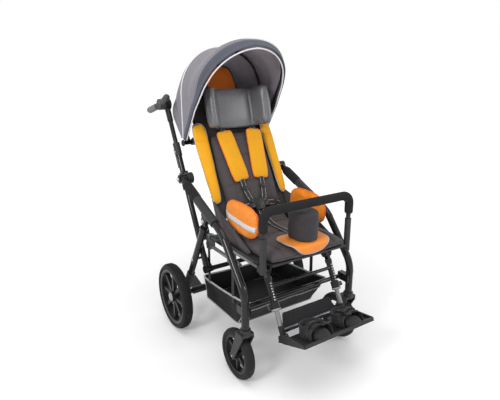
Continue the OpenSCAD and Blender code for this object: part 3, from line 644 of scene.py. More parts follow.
@cache
def stitch_tree():
    """Short thread stitches laid along edges."""
    g = growth("stitch_run", Pitch=0.004, Length=0.0028, Thread=0.0006)
    thread = g.given["Thread"]
    ball = g.node("GeometryNodeMeshUVSphere", {"Segments": 6, "Rings": 4, "Radius": 1.0})
    size = g.xyz(thread, thread, g.math("MULTIPLY", g.given["Length"], 0.5))
    points, turn = along_edges(g)
    return instanced(g, points, ball.outputs["Mesh"], turn, size)


@cache
def bolt_tree():
    """Socket screws with a washer, standing on points along each point's axis."""
    g = growth("bolt_set", Head=1.0)
    whole = g.node("GeometryNodeJoinGeometry")
    for radius, depth, lift, count in ((1.45, 0.25, 0.125, 20), (1.0, 0.75, 0.6, 16), (0.52, 0.3, 0.9, 6)):
        c = g.node("GeometryNodeMeshCylinder", {"Vertices": count, "Radius": radius, "Depth": depth})
        move = g.node("GeometryNodeTransform", {"Geometry": c.outputs["Mesh"], "Translation": (0, 0, lift)})
        g.feed(whole.inputs[0], move.outputs[0])
    axis = g.node("GeometryNodeInputNamedAttribute", {"Name": "axis"}, data_type="FLOAT_VECTOR")
    size = g.node("GeometryNodeInputNamedAttribute", {"Name": "size"}, data_type="FLOAT")
    scale = g.math("MULTIPLY", size.outputs["Attribute"], g.given["Head"])
    turn = turned_to(g, axis.outputs["Attribute"])
    return instanced(g, g.given["Geometry"], whole.outputs[0], turn, scale)


@cache
def lug_tree():
    """Tread lugs in a ring about X: count, radius, place across and lug size."""
    g = growth("tread_ring", Count=90, Radius=0.148, Across=0.0, Lug=(0.0, 0.0, 0.0), Tilt=0.0, Phase=0.0, Slant=0.0)
    given = g.given
    line = g.node("GeometryNodeMeshLine", {"Count": given["Count"]})
    step = g.math("DIVIDE", 2 * pi, given["Count"])
    ang = g.math("MULTIPLY_ADD", g.node("GeometryNodeInputIndex").outputs[0], step, given["Phase"])
    y, z = (g.math("MULTIPLY", g.math(wave, ang), given["Radius"]) for wave in ("SINE", "COSINE"))
    put = g.node("GeometryNodeSetPosition", {"Geometry": line.outputs[0], "Position": g.xyz(given["Across"], y, z)})
    spin = g.node("FunctionNodeEulerToRotation", {0: g.xyz(g.math("MULTIPLY", ang, -1.0))})
    tip = g.node("FunctionNodeEulerToRotation", {0: g.xyz(None, given["Tilt"], given["Slant"])})
    turn = g.node("FunctionNodeRotateRotation", {"Rotation": spin.outputs[0], "Rotate By": tip.outputs[0]},
                  rotation_space="LOCAL")
    cube = g.node("GeometryNodeMeshCube", {"Size": given["Lug"]})
    return instanced(g, put.outputs[0], cube.outputs["Mesh"], turn.outputs[0])


@cache
def ring_tree():
    """Small raised rings set along edges, for grip ribs."""
    g = growth("rib_row", Pitch=0.006, Radius=0.014, Height=0.002, Sides=24)
    ring = g.node("GeometryNodeMeshCylinder", {"Radius": g.given["Radius"], "Depth": g.given["Height"],
                                               "Vertices": g.given["Sides"]})
    points, turn = along_edges(g)
    return instanced(g, points, ring.outputs["Mesh"], turn)


def grown(name, tree, values, verts=((0, 0, 0),), edges=(), attributes=None):
    """The plain mesh that a tree makes from some points and edges."""
    mesh = bpy.data.meshes.new(name)
    mesh.from_pydata([tuple(map(float, v)) for v in verts], list(edges), [])
    attributes = attributes or {}
    for key, data in attributes.items():
        data = np.asarray(data, np.float32)
        many = data.ndim == 2
        a = mesh.attributes.new(key, "FLOAT_VECTOR" if many else "FLOAT", "POINT")
        a.data.foreach_set("vector" if many else "value", data.ravel())
    obj = linked(name, mesh)
    m = modifier(obj, "grow", "NODES", node_group=tree)
    for s in tree.interface.items_tree:
        if s.name in values:
            m[s.identifier] = finish(values[s.name]) if s.name == "Material" else values[s.name]
    settle(obj)
    for key in attributes:
        a = obj.data.attributes.get(key)
        if a is not None:
            obj.data.attributes.remove(a)
    return smoothed(obj)


def chain(first, count):
    return [(first + k, first + k + 1) for k in range(count - 1)]


def stitched(name, runs, material, pitch):
    """Thread stitches along each run of points."""
    verts, edges = [], []
    for r in runs:
        edges += chain(len(verts), len(r))
        verts += [tuple(p) for p in r]
    values = {"Pitch": pitch, "Length": 0.003, "Thread": 0.0007, "Material": material}
    return grown(name, stitch_tree(), values, verts, edges)


def bolted(name, spots):
    """Steel screws on spots given as place, axis and head radius in metres."""
    places, axes, sizes = zip(*spots)
    return grown(name, bolt_tree(), {"Head": 1.0, "Material": "bright_steel"}, places, (),
                 {"axis": axes, "size": sizes})


# Shader groups and finishes

def shader_group(name, inputs, *outputs):
    return node_group(name, "ShaderNodeTree", inputs, dict.fromkeys(outputs, FLOAT))


@cache
def weave():
    """Crossed threads: a height for bumps, and a painted shade that darkens the colour in the hollows between threads.
    """
    g = shader_group("thread_weave", {"Vector": VECTOR, "Threads": 2200.0}, "Height", "Shade")
    fine = g.node("ShaderNodeVectorMath", {0: g.given["Vector"], "Scale": g.given["Threads"]}, operation="SCALE")
    x, y, z = (g.math("SINE", s) for s in g.node("ShaderNodeSeparateXYZ", {0: fine.outputs[0]}).outputs)
    total = g.math("ADD", g.math("MULTIPLY", x, y), g.math("MULTIPLY", y, z))
    height = g.math("MULTIPLY_ADD", g.math("ADD", total, g.math("MULTIPLY", z, x)), 0.3, 0.5)
    g.feed(g.made["Height"], height)
    # Painted shade: the lower the weave height, the darker the colour factor.
    g.feed(g.made["Shade"], g.math("MULTIPLY_ADD", height, 0.5, 0.72))
    return g.tree


def noise(g, detail, rough):
    return g.node("ShaderNodeTexNoise", {"Vector": g.given["Vector"], "Scale": g.given["Scale"], "Detail": detail,
                                         "Roughness": rough}).outputs["Fac"]


@cache
def mottle():
    """Soft uneven tone of cloth, dust and handling. On the orange satin its wide range also paints light and dark sheen
    patches.
    """
    g = shader_group("soft_mottle", {"Vector": VECTOR, "Scale": 14.0, "Low": 0.8, "High": 1.1}, "Tone", "Height")
    height = noise(g, 5.0, 0.6)
    span = g.math("SUBTRACT", g.given["High"], g.given["Low"])
    g.feed(g.made["Tone"], g.math("MULTIPLY_ADD", height, span, g.given["Low"]))
    g.feed(g.made["Height"], height)
    return g.tree


@cache
def pebble():
    """Pebbled grain of moulded plastic, skin and foam."""
    g = shader_group("pebble_grain", {"Vector": VECTOR, "Scale": 700.0}, "Height")
    cells = g.node("ShaderNodeTexVoronoi", {k: g.given[k] for k in ("Vector", "Scale")}, feature="SMOOTH_F1")
    g.feed(g.made["Height"], cells.outputs["Distance"])
    return g.tree


@cache
def scuff():
    """Fine scuffs and rubbed spots as a mask."""
    g = shader_group("rub_scuff", {"Vector": VECTOR, "Scale": 40.0, "Share": 0.62}, "Mask")
    over = g.math("SUBTRACT", noise(g, 9.0, 0.72), g.given["Share"])
    g.feed(g.made["Mask"], g.node("ShaderNodeClamp", {"Value": g.math("MULTIPLY", over, 8.0)}).outputs[0])
    return g.tree


@cache
def web():
    """Woven webbing on its own map: ribs along it and a pale line near each edge."""
    g = shader_group("edge_lined_web", {"Map": VECTOR, "Line": 0.36, "Half": 0.045}, "Mask", "Height")
    across, along = g.node("ShaderNodeSeparateXYZ", {0: g.given["Map"]}).outputs[:2]
    off = g.math("ABSOLUTE", g.math("SUBTRACT", across, 0.5))
    near = g.math("COMPARE", off, g.given["Line"], g.given["Half"])
    dash = g.math("GREATER_THAN", g.math("SINE", g.math("MULTIPLY", along, 1400.0)), -0.55)
    g.feed(g.made["Mask"], g.math("MULTIPLY", near, dash))
    rib, side = (g.math("SINE", g.math("MULTIPLY", *pair)) for pair in ((along, 3600.0), (across, 90.0)))
    g.feed(g.made["Height"], g.math("MULTIPLY_ADD", g.math("MULTIPLY", rib, side), 0.5, 0.5))
    return g.tree


class Finish(Graph):
    """One material, with short ways to add the shared effects."""

    def __init__(self, name, tint, rough, metal=0.0, coat=0.0, sheen=0.0, shine=0.5):
        self.mat = bpy.data.materials.new(name)
        self.mat.use_nodes = True
        super().__init__(self.mat.node_tree)
        self.skin = next(n for n in self.nodes if n.type == "BSDF_PRINCIPLED").inputs
        self.tint = tuple(tint[:3])
        self.rough = rough
        self.mat.diffuse_color = (*self.tint, 1)
        looks = {"Base Color": (*self.tint, 1), "Roughness": rough, "Metallic": metal, "Specular IOR Level": shine}
        if coat:
            looks.update({"Coat Weight": coat, "Coat Roughness": 0.06})
        if sheen:
            pale = (*[min(1, 0.35 + c) for c in self.tint], 1)
            looks.update({"Sheen Weight": sheen, "Sheen Roughness": 0.45, "Sheen Tint": pale})
        for key, value in looks.items():
            self.skin[key].default_value = value
        self.place = self.nodes.new("ShaderNodeTexCoord").outputs["Object"]
        self.bump = None

    def use(self, effect, vector=None, **values):
        """The outputs of an effect group at each point of the surface."""
        spot = self.place if vector is None else vector
        return self.node("ShaderNodeGroup", {0: spot, **values}, node_tree=effect()).outputs

    def shaded(self, value):
        """Base colour multiplied by a value that changes over the surface."""
        n = self.node("ShaderNodeVectorMath", {0: self.tint, "Scale": value}, operation="SCALE")
        self.base = n.outputs[0]
        self.feed(self.skin["Base Color"], self.base)

    def mixed(self, mask, other):
        """Shaded base colour mixed with another by a mask."""
        n = self.node("ShaderNodeMix", {"Factor": mask, "A": self.base, "B": (*other, 1)}, data_type="RGBA")
        self.feed(self.skin["Base Color"], n.outputs["Result"])

    def roughen(self, value, span):
        self.feed(self.skin["Roughness"], self.math("MULTIPLY_ADD", value, span, self.rough - span / 2))

    def relief(self, height, strength, distance):
        n = self.node("ShaderNodeBump", {"Strength": strength, "Distance": distance, "Height": height,
                                         "Normal": self.bump})
        self.bump = n.outputs["Normal"]
        self.feed(self.skin["Normal"], self.bump)

    def mottled(self, scale, low, high, span=0.0):
        """Uneven tone, and roughness over a span. Gives the height of the same noise."""
        tone = self.use(mottle, Scale=scale, Low=low, High=high)
        self.shaded(tone["Tone"])
        if span:
            self.roughen(tone["Height"], span)
        return tone["Height"]

    def rubbed(self, scale, share, amount, other):
        mask = self.use(scuff, Scale=scale, Share=share)["Mask"]
        self.mixed(self.math("MULTIPLY", mask, amount), other)

    def creased(self, scale, strength, distance):
        self.relief(self.use(mottle, Scale=scale, Low=0.0, High=1.0)["Height"], strength, distance)

    def grained(self, scale, strength, distance):
        self.relief(self.use(pebble, Scale=scale)["Height"], strength, distance)
        return self.mat


def cloth(name, tint, rough=0.85, threads=2600.0, sheen=0.25, low=0.82, high=1.16, crease=0.004, scale=13.0, shine=0.3):
    f = Finish(name, tint, rough, sheen=sheen, shine=shine)
    tone = f.use(mottle, Scale=scale, Low=low, High=high)
    thread = f.use(weave, Threads=threads)
    # Base colour: random tone times the weave's painted shade between threads.
    f.shaded(f.math("MULTIPLY", tone["Tone"], thread["Shade"]))
    f.roughen(tone["Height"], 0.16)
    f.creased(scale * 2.2, 0.5, crease)
    f.relief(thread["Height"], 0.35, 0.0005)
    return f.mat


def plastic(name, tint, rough=0.5, grain=900.0, depth=0.00025):
    f = Finish(name, tint, rough, shine=0.32)
    f.mottled(30.0, 0.88, 1.1, 0.18)
    f.rubbed(55.0, 0.66, 0.3, [min(1, c * 1.8 + 0.03) for c in tint])
    return f.grained(grain, 0.4, depth)


def paint(name, tint):
    f = Finish(name, tint, 0.15, coat=0.3, shine=0.16)
    f.mottled(24.0, 0.9, 1.12, 0.12)
    f.rubbed(70.0, 0.68, 0.25, (0.07, 0.07, 0.07))
    return f.grained(420.0, 0.12, 0.0002)


def metal(name, tint, rough):
    f = Finish(name, tint, rough, metal=0.9)
    f.mottled(60.0, 0.88, 1.08, 0.2)
    f.relief(f.use(scuff, Scale=220.0, Share=0.6)["Mask"], 0.1, 0.0002)
    return f.mat


def rubber(name, tint):
    f = Finish(name, tint, 0.72, shine=0.2)
    f.mottled(26.0, 0.8, 1.25, 0.25)
    f.rubbed(34.0, 0.56, 0.35, (0.085, 0.08, 0.075))
    return f.grained(520.0, 0.35, 0.0003)


def foam(name, tint):
    f = Finish(name, tint, 0.9, sheen=0.06, shine=0.15)
    height = f.mottled(22.0, 0.85, 1.15)
    f.grained(430.0, 0.6, 0.0006)
    f.relief(height, 0.35, 0.002)
    return f.mat


def leather(name, tint):
    f = Finish(name, tint, 0.38, coat=0.3, sheen=0.1, shine=0.6)
    f.skin["Coat Roughness"].default_value = 0.28
    f.mottled(16.0, 0.86, 1.14, 0.16)
    f.creased(30.0, 0.35, 0.003)
    return f.grained(620.0, 0.35, 0.0004)


def webbing(name, tint, line):
    f = Finish(name, tint, 0.7, sheen=0.1)
    weft = f.use(web, f.nodes.new("ShaderNodeUVMap").outputs["UV"], Line=0.36, Half=0.05)
    f.mottled(40.0, 0.8, 1.2)
    f.mixed(weft["Mask"], line)
    f.relief(weft["Height"], 0.5, 0.0006)
    return f.mat


def tape(name, tint):
    f = Finish(name, tint, 0.36)
    cell = f.use(pebble, Scale=520.0)["Height"]
    f.shaded(f.math("MULTIPLY_ADD", cell, 0.5, 0.82))
    f.roughen(cell, 0.2)
    f.relief(cell, 0.25, 0.0003)
    return f.mat


# Each finish: its maker, its colour or the panel's name for it, and the maker's other values.
FINISHES = {
    "tube_paint": (paint, "tube"),
    "dark_moulding": (plastic, "moulding"),
    "plate_moulding": (plastic, "plate", 0.42),
    "grey_tube": (metal, "inner_tube", 0.34),
    "bright_steel": (metal, (0.55, 0.55, 0.56), 0.28),
    "handle_grey": (plastic, "handle", 0.48, 700.0, 0.0004),
    "grip_pale": (plastic, (0.30, 0.30, 0.31), 0.5, 600.0, 0.0004),
    "seat_cloth": (cloth, "seat"),
    "block_cloth": (cloth, "block", 0.72, 3400.0, 0.2, 0.88, 1.1, 0.002),
    # The satin's tone range of 0.70 to 1.22 is partly random uneven tone and partly painted sheen in light and dark
    # patches.
    "satin_orange": (cloth, "satin", 0.42, 3800.0, 0.35, 0.70, 1.22, 0.006, 7.0, 0.5),
    "head_orange": (cloth, "head", 0.6, 3800.0, 0.2, 0.8, 1.1, 0.004, 11.0),
    "pad_yellow": (cloth, "pad", 0.7, 3000.0, 0.2, 0.92, 1.06, 0.003, 12.0),
    "hood_cloth": (cloth, "hood", 0.66, 3000.0, 0.2, 0.9, 1.1, 0.004, 8.0),
    "hood_band": (cloth, "hood_band", 0.6, 3000.0, 0.2, 0.9, 1.1, 0.003, 8.0),
    # The lining is the hood cloth's inner face, painted lighter to lift the shade inside the hood.
    "hood_lining": (cloth, "hood_lining", 0.7, 3000.0, 0.15, 0.9, 1.1, 0.003, 8.0),
    "headrest_skin": (leather, "headrest"),
    "basket_cloth": (cloth, "basket", 0.6, 1500.0, 0.08, 0.75, 1.3, 0.006, 9.0, 0.2),
    "cuff_cloth": (cloth, (0.018, 0.018, 0.02), 0.75, 1800.0, 0.25, 0.75, 1.3, 0.004, 16.0),
    "back_cloth": (cloth, (0.040, 0.036, 0.038), 0.8, 2000.0, 0.2, 0.8, 1.2, 0.003, 10.0),
    "foam_black": (foam, "foam"),
    "tyre_rubber": (rubber, "tyre"),
    "rim_black": (plastic, (0.012, 0.012, 0.013), 0.44),
    "rim_pale": (plastic, "rim", 0.4),
    "rim_ring": (plastic, (0.075, 0.075, 0.078), 0.42),
    "edge_web": (webbing, (0.012, 0.012, 0.013), (0.42, 0.42, 0.43)),
    "plain_web": (webbing, (0.013, 0.013, 0.014), (0.03, 0.03, 0.03)),
    "white_piping": (tape, (0.74, 0.74, 0.76)),
    "grey_piping": (tape, (0.36, 0.37, 0.39)),
    "dark_piping": (cloth, (0.05, 0.047, 0.05), 0.7, 3800.0),
    "orange_piping": (cloth, (0.82, 0.17, 0.012), 0.6, 3800.0),
    "silver_tape": (tape, (0.62, 0.63, 0.65)),
    "dark_thread": (cloth, (0.045, 0.041, 0.043), 0.7, 4000.0),
    "orange_thread": (cloth, (0.75, 0.22, 0.015), 0.7, 4000.0),
    "buckle_black": (plastic, (0.014, 0.014, 0.015), 0.35),
}


@cache
def finish(name):
    """The named finish, made once."""
    maker, tint, *rest = FINISHES[name]
    if isinstance(tint, str):
        tint = getattr(bpy.context.scene.buggy_colours, tint)
    return maker(name, tint, *rest)


# Frame finishes, wheels and hardware

NODE_FINISH = {
    "tube_paint": (
        "push_tubes", "lower_cross_tube", "seat_rails", "back_tubes", "hood_rear_bow", "hood_front_bow", "hood_mid_bow",
        "front_legs", "front_cross_tube", "rear_legs", "rear_axle", "fold_links", "foot_hangers", "bumper_bar",
        "handle_stem_right", "handle_stem_left", "headrest_stem"),
    "dark_moulding": (
        "knuckles", "stem_clamps", "seat_brackets", "bumper_sockets", "hood_brackets", "elbow_sleeves",
        "wheel_brackets", "caster_fork_right", "caster_fork_left"),
    "grey_tube": ("rail_fronts", "seat_braces", "foot_slides"),
    "plate_moulding": ("seat_board", "footplate"),
    "back_cloth": ("back_panel",),
    "handle_grey": ("handle_grip_right", "handle_grip_left"),
    "rim_black": ("rear_rim_right", "rear_rim_left", "caster_rim_right", "caster_rim_left"),
    "buckle_black": ("brake_pedal",),
}
# Screws on both sides of a node: place in the side plane and head radius.
SCREWS = {
    "chassis": (("knuckles", 0.2221, 0.7002, 0.0062), ("seat_brackets", 0.1468, 0.467, 0.0045),
                ("stem_clamps", 0.318, 0.800, 0.004)),
    "front_frame": (("elbow_sleeves", 0.0165, 0.5708, 0.0062), ("elbow_sleeves", 0.040, 0.600, 0.004)),
    "rear_frame": (("wheel_brackets", 0.250, 0.185, 0.0045), ("wheel_brackets", 0.236, 0.205, 0.0045),
                   ("rear_legs", 0.1315, 0.3635, 0.005)),
}
# Profiles of the wheels. The second of each pair is a share of the tyre's half width. The first is a share of the
# tyre's height for its wall, a drop from the top for its crown, and a step from its inner radius for ribs and lips.
TYRE_WALL = ((0.30, 0.97), (0.45, 0.995), (0.62, 0.95), (0.80, 0.80))
TYRE_CROWN = ((0.0040, 0.60), (0.0014, 0.38), (0.0003, 0.18), (0.0, 0.0))
BEAD_RIB = ((0.006, 0.955), (0.0068, 1.0), (0.0078, 0.955))
BEAD_STEP = 0.0042
RIM_LIP = ((-0.0075, 0.70), (-0.0045, 0.81), (-0.0008, 0.84), (0.0012, 0.82), (0.0008, 0.70))
# Caps of the rear hubs and the hood's pivots, as radius and distance along the axis.
HUB_CAP = ((0.0, 0.0085), (0.009, 0.0082), (0.015, 0.0068), (0.0195, 0.0036), (0.021, 0.0), (0.021, -0.004),
           (0.0, -0.004))
HUB_SCREW_RING = 0.031
PIVOT_CAP = ((0.0, 0.0052), (0.008, 0.0048), (0.0125, 0.003), (0.014, 0.0), (0.014, -0.003), (0.0, -0.003))


def build_frame():
    for name, nodes in NODE_FINISH.items():
        for node in nodes:
            slots = NODES[node].data.materials
            slots.clear()
            slots.append(finish(name))


def wheel_facts(node):
    """Centre, outer radius, width and inner radius of a tyre."""
    lo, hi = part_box(node)
    c = (lo + hi) / 2
    co = points_of(NODES[node])
    return c, (hi.z - lo.z) / 2, hi.x - lo.x, np.hypot(co[:, 1] - c.y, co[:, 2] - c.z).min()


def tyre_profile(r, w, inner, top):
    """Bead, sidewall, shoulder and rounded crown of a tyre, as radius and distance across."""
    half = w / 2
    right = [(inner, 0.0), (inner, half * 0.72), (inner + 0.002, half * 0.80)]
    right += [(inner + (r - inner) * a, half * b) for a, b in TYRE_WALL]
    right += [(top - a, half * b) for a, b in TYRE_CROWN]
    return right + [(a, -b) for a, b in reversed(right[1:-1])]


def hoop(name, profile, centre, material, closed=True):
    return lathe(name, profile, centre, X_AXIS, material, 96, closed)


def build_wheels():
    for side, name in SIDES:
        build_rear_wheel(side, name)
        build_caster(name)


def build_rear_wheel(side, name):
    s = sizes()
    body, node = "rear_wheel_" + name, "rear_tyre_" + name
    c, r, w, inner = wheel_facts(node)
    half, deep = w / 2, s.tread_depth
    rows = [(0.0, r - deep * 0.45, (0.0075, 0.0062, deep), 0.0, 0.0, 0.35)]
    for k in (-1, 1):
        rows.append((k * half * 0.36, r - deep * 0.62, (0.0085, 0.0066, deep), k * 0.16, 0.5, -k * 0.4))
        rows.append((k * half * 0.66, r - deep - 0.0040, (0.0080, 0.0060, deep * 1.3), k * 0.62, 0.0, k * 0.25))
    parts = [hoop("tyre_skin", tyre_profile(r, w, inner, r - deep), c, "tyre_rubber")]
    for x, radius, lug, tilt, phase, slant in rows:
        lugs = grown("lugs", lug_tree(), {
            "Count": s.tread_count, "Radius": radius, "Across": x, "Lug": lug, "Tilt": tilt, "Slant": slant,
            "Phase": phase * 2 * pi / s.tread_count, "Material": "tyre_rubber"})
        parts.append(placed(smoothed(lugs, False), Matrix.Translation(c)))
    parts += [hoop("bead_rib", [(inner + a + k * BEAD_STEP, sgn * half * b) for a, b in BEAD_RIB], c, "tyre_rubber",
                   False) for k in (0, 1) for sgn in (-1, 1)]
    tyre = merged("rear_tyre_tread_" + name, parts)
    carried(tyre, body, node)
    lo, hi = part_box("rear_rim_" + name)
    face = hi.x if side > 0 else lo.x
    trim = [hoop("lip", [(inner + a, sgn * half * b) for a, b in RIM_LIP], c, "rim_ring") for sgn in (-1, 1)]
    trim.append(lathe("cap", HUB_CAP, (face - side * 0.002, c.y, c.z), (side, 0, 0), "rim_pale", 40))
    carried(merged("rear_wheel_trim_" + name, trim), body)
    rim, spots = Skin(NODES["rear_rim_" + name]).tree, []
    for a in np.linspace(0, 2 * pi, 6, endpoint=False):
        p = (face, c.y + HUB_SCREW_RING * cos(a), c.z + HUB_SCREW_RING * sin(a))
        gap = rim.ray_cast(Vector(p) + Vector((side * 0.002, 0, 0)), Vector((-side, 0, 0)))[3]
        if gap is not None and gap < 0.004:
            spots.append((p, (side, 0, 0), 0.0030))
    if spots:
        carried(bolted("rear_hub_screws_" + name, spots), body)


def build_caster(name):
    node = "caster_tyre_" + name
    c, r, w, inner = wheel_facts(node)
    parts = [hoop("tyre_skin", tyre_profile(r, w, inner, r), c, "tyre_rubber")]
    for x in (-0.007, 0.007):
        rib = [(r - 0.0016, x - 0.0014), (r - 0.0002 - abs(x) * 0.035, x), (r - 0.0016, x + 0.0014)]
        parts.append(hoop("rib", rib, c, "tyre_rubber", False))
    tyre = merged("caster_tyre_round_" + name, parts)
    carried(tyre, "caster_wheel_" + name, node)
    lo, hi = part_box("caster_fork_" + name)
    spots = [((x - sgn * 0.0012, c.y, c.z), (sgn, 0, 0), 0.0034) for sgn, x in ((-1, lo.x), (1, hi.x))]
    carried(bolted("caster_axle_screws_" + name, spots), "caster_" + name)


def build_hardware():
    """Screws on the pivots and brackets, where a node's outer face looks sideways."""
    for body, rows in SCREWS.items():
        spots = []
        for node, y, z, size in rows:
            solid = Skin(NODES[node]).tree
            for side, _ in SIDES:
                at, no = solid.ray_cast(Vector((side * 0.6, y, z)), Vector((-side, 0, 0)))[:2]
                if at is not None and abs(no.x) >= 0.9:
                    spots.append(((at.x - side * 0.0003, y, z), (side, 0, 0), size))
        if spots:
            carried(bolted(body + "_screws", spots), body)


def build_handles():
    s = sizes()
    for side, name in SIDES:
        start = Vector((side * 0.2572, 0.4209, 0.9983))
        way = Vector((side * 0.36, 0.86, -0.36)).normalized()
        line = [start + way * d for d in np.linspace(0.034, 0.0745, 10)]
        ribs = grown("grip_ribs_" + name, ring_tree(), {
            "Pitch": s.rib_pitch, "Radius": 0.0147, "Height": 0.0034, "Sides": 28, "Material": "grip_pale",
        }, line, chain(0, len(line)))
        carried(bevelled(ribs, 0.0007, 2), "grip_" + name)


# Soft goods

def beside(skin, m, line, axis, lift, sides=SEAM_SIDES):
    """Two runs for stitches, one on each side of a seam that is given in a pad's frame."""
    runs = []
    for off in sides:
        run = np.array(line, float)
        run[:, axis] += off
        runs.append(skin.cast(through(m, run), -outward(m), lift))
    return runs


def build_seat():
    s = sizes()
    lo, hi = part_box("seat_cushion")
    mid, up = (lo + hi) / 2, hi.z + 0.05
    m, level = Matrix.Translation((0, mid.y, lo.z)), Matrix.Identity(4)
    v, f, loop = crown(hi.x - lo.x, hi.y - lo.y, hi.z - lo.z, 0.018, 44, 42, 0.22, flat=True)
    seat = placed(tidy(piece("seat_cushion_soft", v, f, "seat_cloth")), m)
    lines = [[(x, mid.y + 0.006 * cos(x * 9), up) for x in np.linspace(-0.165, 0.165, 40)]]
    for sgn in (-1, 1):
        lines.append([(sgn * (0.118 + 0.012 * sin((y - lo.y) / (hi.y - lo.y) * pi)), y, up)
                      for y in np.linspace(lo.y + 0.014, hi.y - 0.014, 40)])
    skin = Skin(seat)
    sewn = near_lines([skin.cast(l, DOWN) for l in lines], 0.006)
    puffed(seat, 0.0055, 4.0, s.puff, lambda co: (co[:, 2] < lo.z + 0.006) | sewn(co), 0.0025)
    co = points_of(seat)
    under_flap = (np.abs(co[:, 0]) < 0.118) & (co[:, 1] < -0.205)
    co[under_flap, 2] = np.minimum(co[under_flap, 2], hi.z - 0.0006)
    co[:, 2] = np.maximum(co[:, 2], lo.z)
    set_points(seat, co)
    skin = Skin(seat)
    sunk(seat, [skin.cast(l, DOWN) for l in lines], 0.0045, 0.0035)
    skin = Skin(seat)
    carried(seat, "chassis", "seat_cushion")
    runs = [run for l in lines[1:] for run in beside(skin, level, l, 0, STITCH_LIFT)]
    runs += beside(skin, level, lines[0], 1, STITCH_LIFT)
    carried(stitched("seat_stitches", runs, "dark_thread", s.stitch_pitch), "chassis")
    edge = through(m, loop)
    edge[:, 2] += 0.006
    carried(ringed("seat_piping", skin, edge, 0.0022, "dark_piping"), "chassis")
    build_flap()
    build_side_panels(skin)


def between(a, b, s):
    return np.array(a) + s * (np.array(b) - np.array(a))


def build_side_panels(skin):
    """Cloth panels from the seat rails up to the back, and the apron that joins seat and back."""
    s = np.linspace(0, 1, 33)[:, None, None]
    q = np.linspace(0, 1, 11)[None, :, None]
    S, Q = s[..., 0], q[..., 0]
    low = between((0.1785, 0.050, 0.484), (0.1938, -0.190, 0.4815), s)
    high = between((0.1770, 0.122, 0.632), (0.1938, -0.205, 0.498), s)
    high[..., 2] += 0.004 * np.sin(pi * S)
    high[..., 0] = np.maximum(high[..., 0], 0.1770 + 0.0168 * np.clip(S * 3.2, 0, 1))
    grid = low + q * (high - low)
    full = np.sin(pi * Q)
    grid[..., 0] += 0.0016 * full * np.sin(pi * S) + 0.0008 * np.sin(S * 21 + Q * 4) * full
    thick = np.array((0.0011, 0, 0))
    for sgn, name in reversed(SIDES):
        g = grid * np.array((sgn, 1, 1))
        panel = shell("seat_side_panel_" + name, g + thick, g - thick, "seat_cloth")
        declared_sheet(panel, g)
        rim = tube("seat_side_binding_" + name, resampled(g[:, -1], PIPE_STEP), 0.0026, "dark_piping", 8)
        for o in (panel, rim):
            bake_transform(o)
    path = smooth_path([(0, 0.064, 0.600), (0, 0.054, 0.572), (0, 0.040, 0.546), (0, 0.022, 0.530), (0, 0.000, 0.526),
                        (0, -0.040, 0.526)], 0.006)
    cols = np.linspace(-0.128, 0.128, 25)
    mid = np.array([[p + np.array((x, 0.004 * cos(x * 12), 0)) for x in cols] for p in path])
    rest = skin.cast(mid.reshape(-1, 3) + np.array((0, 0, 0.1)), DOWN, 0.0016).reshape(mid.shape)
    onto = np.clip((0.004 - mid[..., 1]) / 0.012, 0, 1)
    mid[..., 2] += onto * (rest[..., 2] - mid[..., 2])
    thick = np.array((0, -0.0008, 0.0008))
    apron = shell("seat_apron", mid + thick, mid - thick, "seat_cloth")
    declared_sheet(apron, mid)
    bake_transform(apron)


def build_flap():
    """The orange flap over the seat's front, with a rounded nose and a piped edge."""
    lo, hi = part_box("seat_flap")
    top, front = hi.z - 0.0031, lo.y + 0.0032
    path = filleted([(0, hi.y, top), (0, front, top), (0, front, lo.z + 0.002)], 0.017, 0.0035)
    d, n = lengths(path), travel(path)[2]
    total, last = d[-1], 40

    def half(dist):
        """Half width at a distance along the flap, with rounded corners at both ends."""
        w = hi.x - 0.002
        for r, end in ((0.036, dist), (0.080, total - dist)):
            if end < r:
                w -= r - sqrt(max(0, r * r - (r - end) ** 2))
        return w
    outer = np.zeros((len(path), last + 1, 3))
    inner = outer.copy()
    for i, p in enumerate(path):
        w = half(d[i])
        for j, u in enumerate(np.linspace(-1, 1, last + 1)):
            e = min(1 - abs(u) ** 5, 1 - abs(2 * d[i] / total - 1) ** 10)
            h = 0.0009 + 0.0021 * sqrt(max(0, e))
            at = p + np.array((u * w, 0, 0))
            outer[i, j] = at + n[i] * h
            inner[i, j] = at - n[i] * min(h, 0.0026)
    flap = shell("seat_flap_soft", outer, inner, "satin_orange")
    carried(flap, "chassis", "seat_flap")
    mid = (outer + inner) / 2
    ring = np.vstack([mid[:, 0], mid[-1, 1:], mid[-2::-1, last], mid[0, last - 1:0:-1]])
    piping = tube("seat_flap_piping", resampled(ring, 0.005, True), 0.0024, "grey_piping", 8, closed=True)
    carried(piping, "chassis")


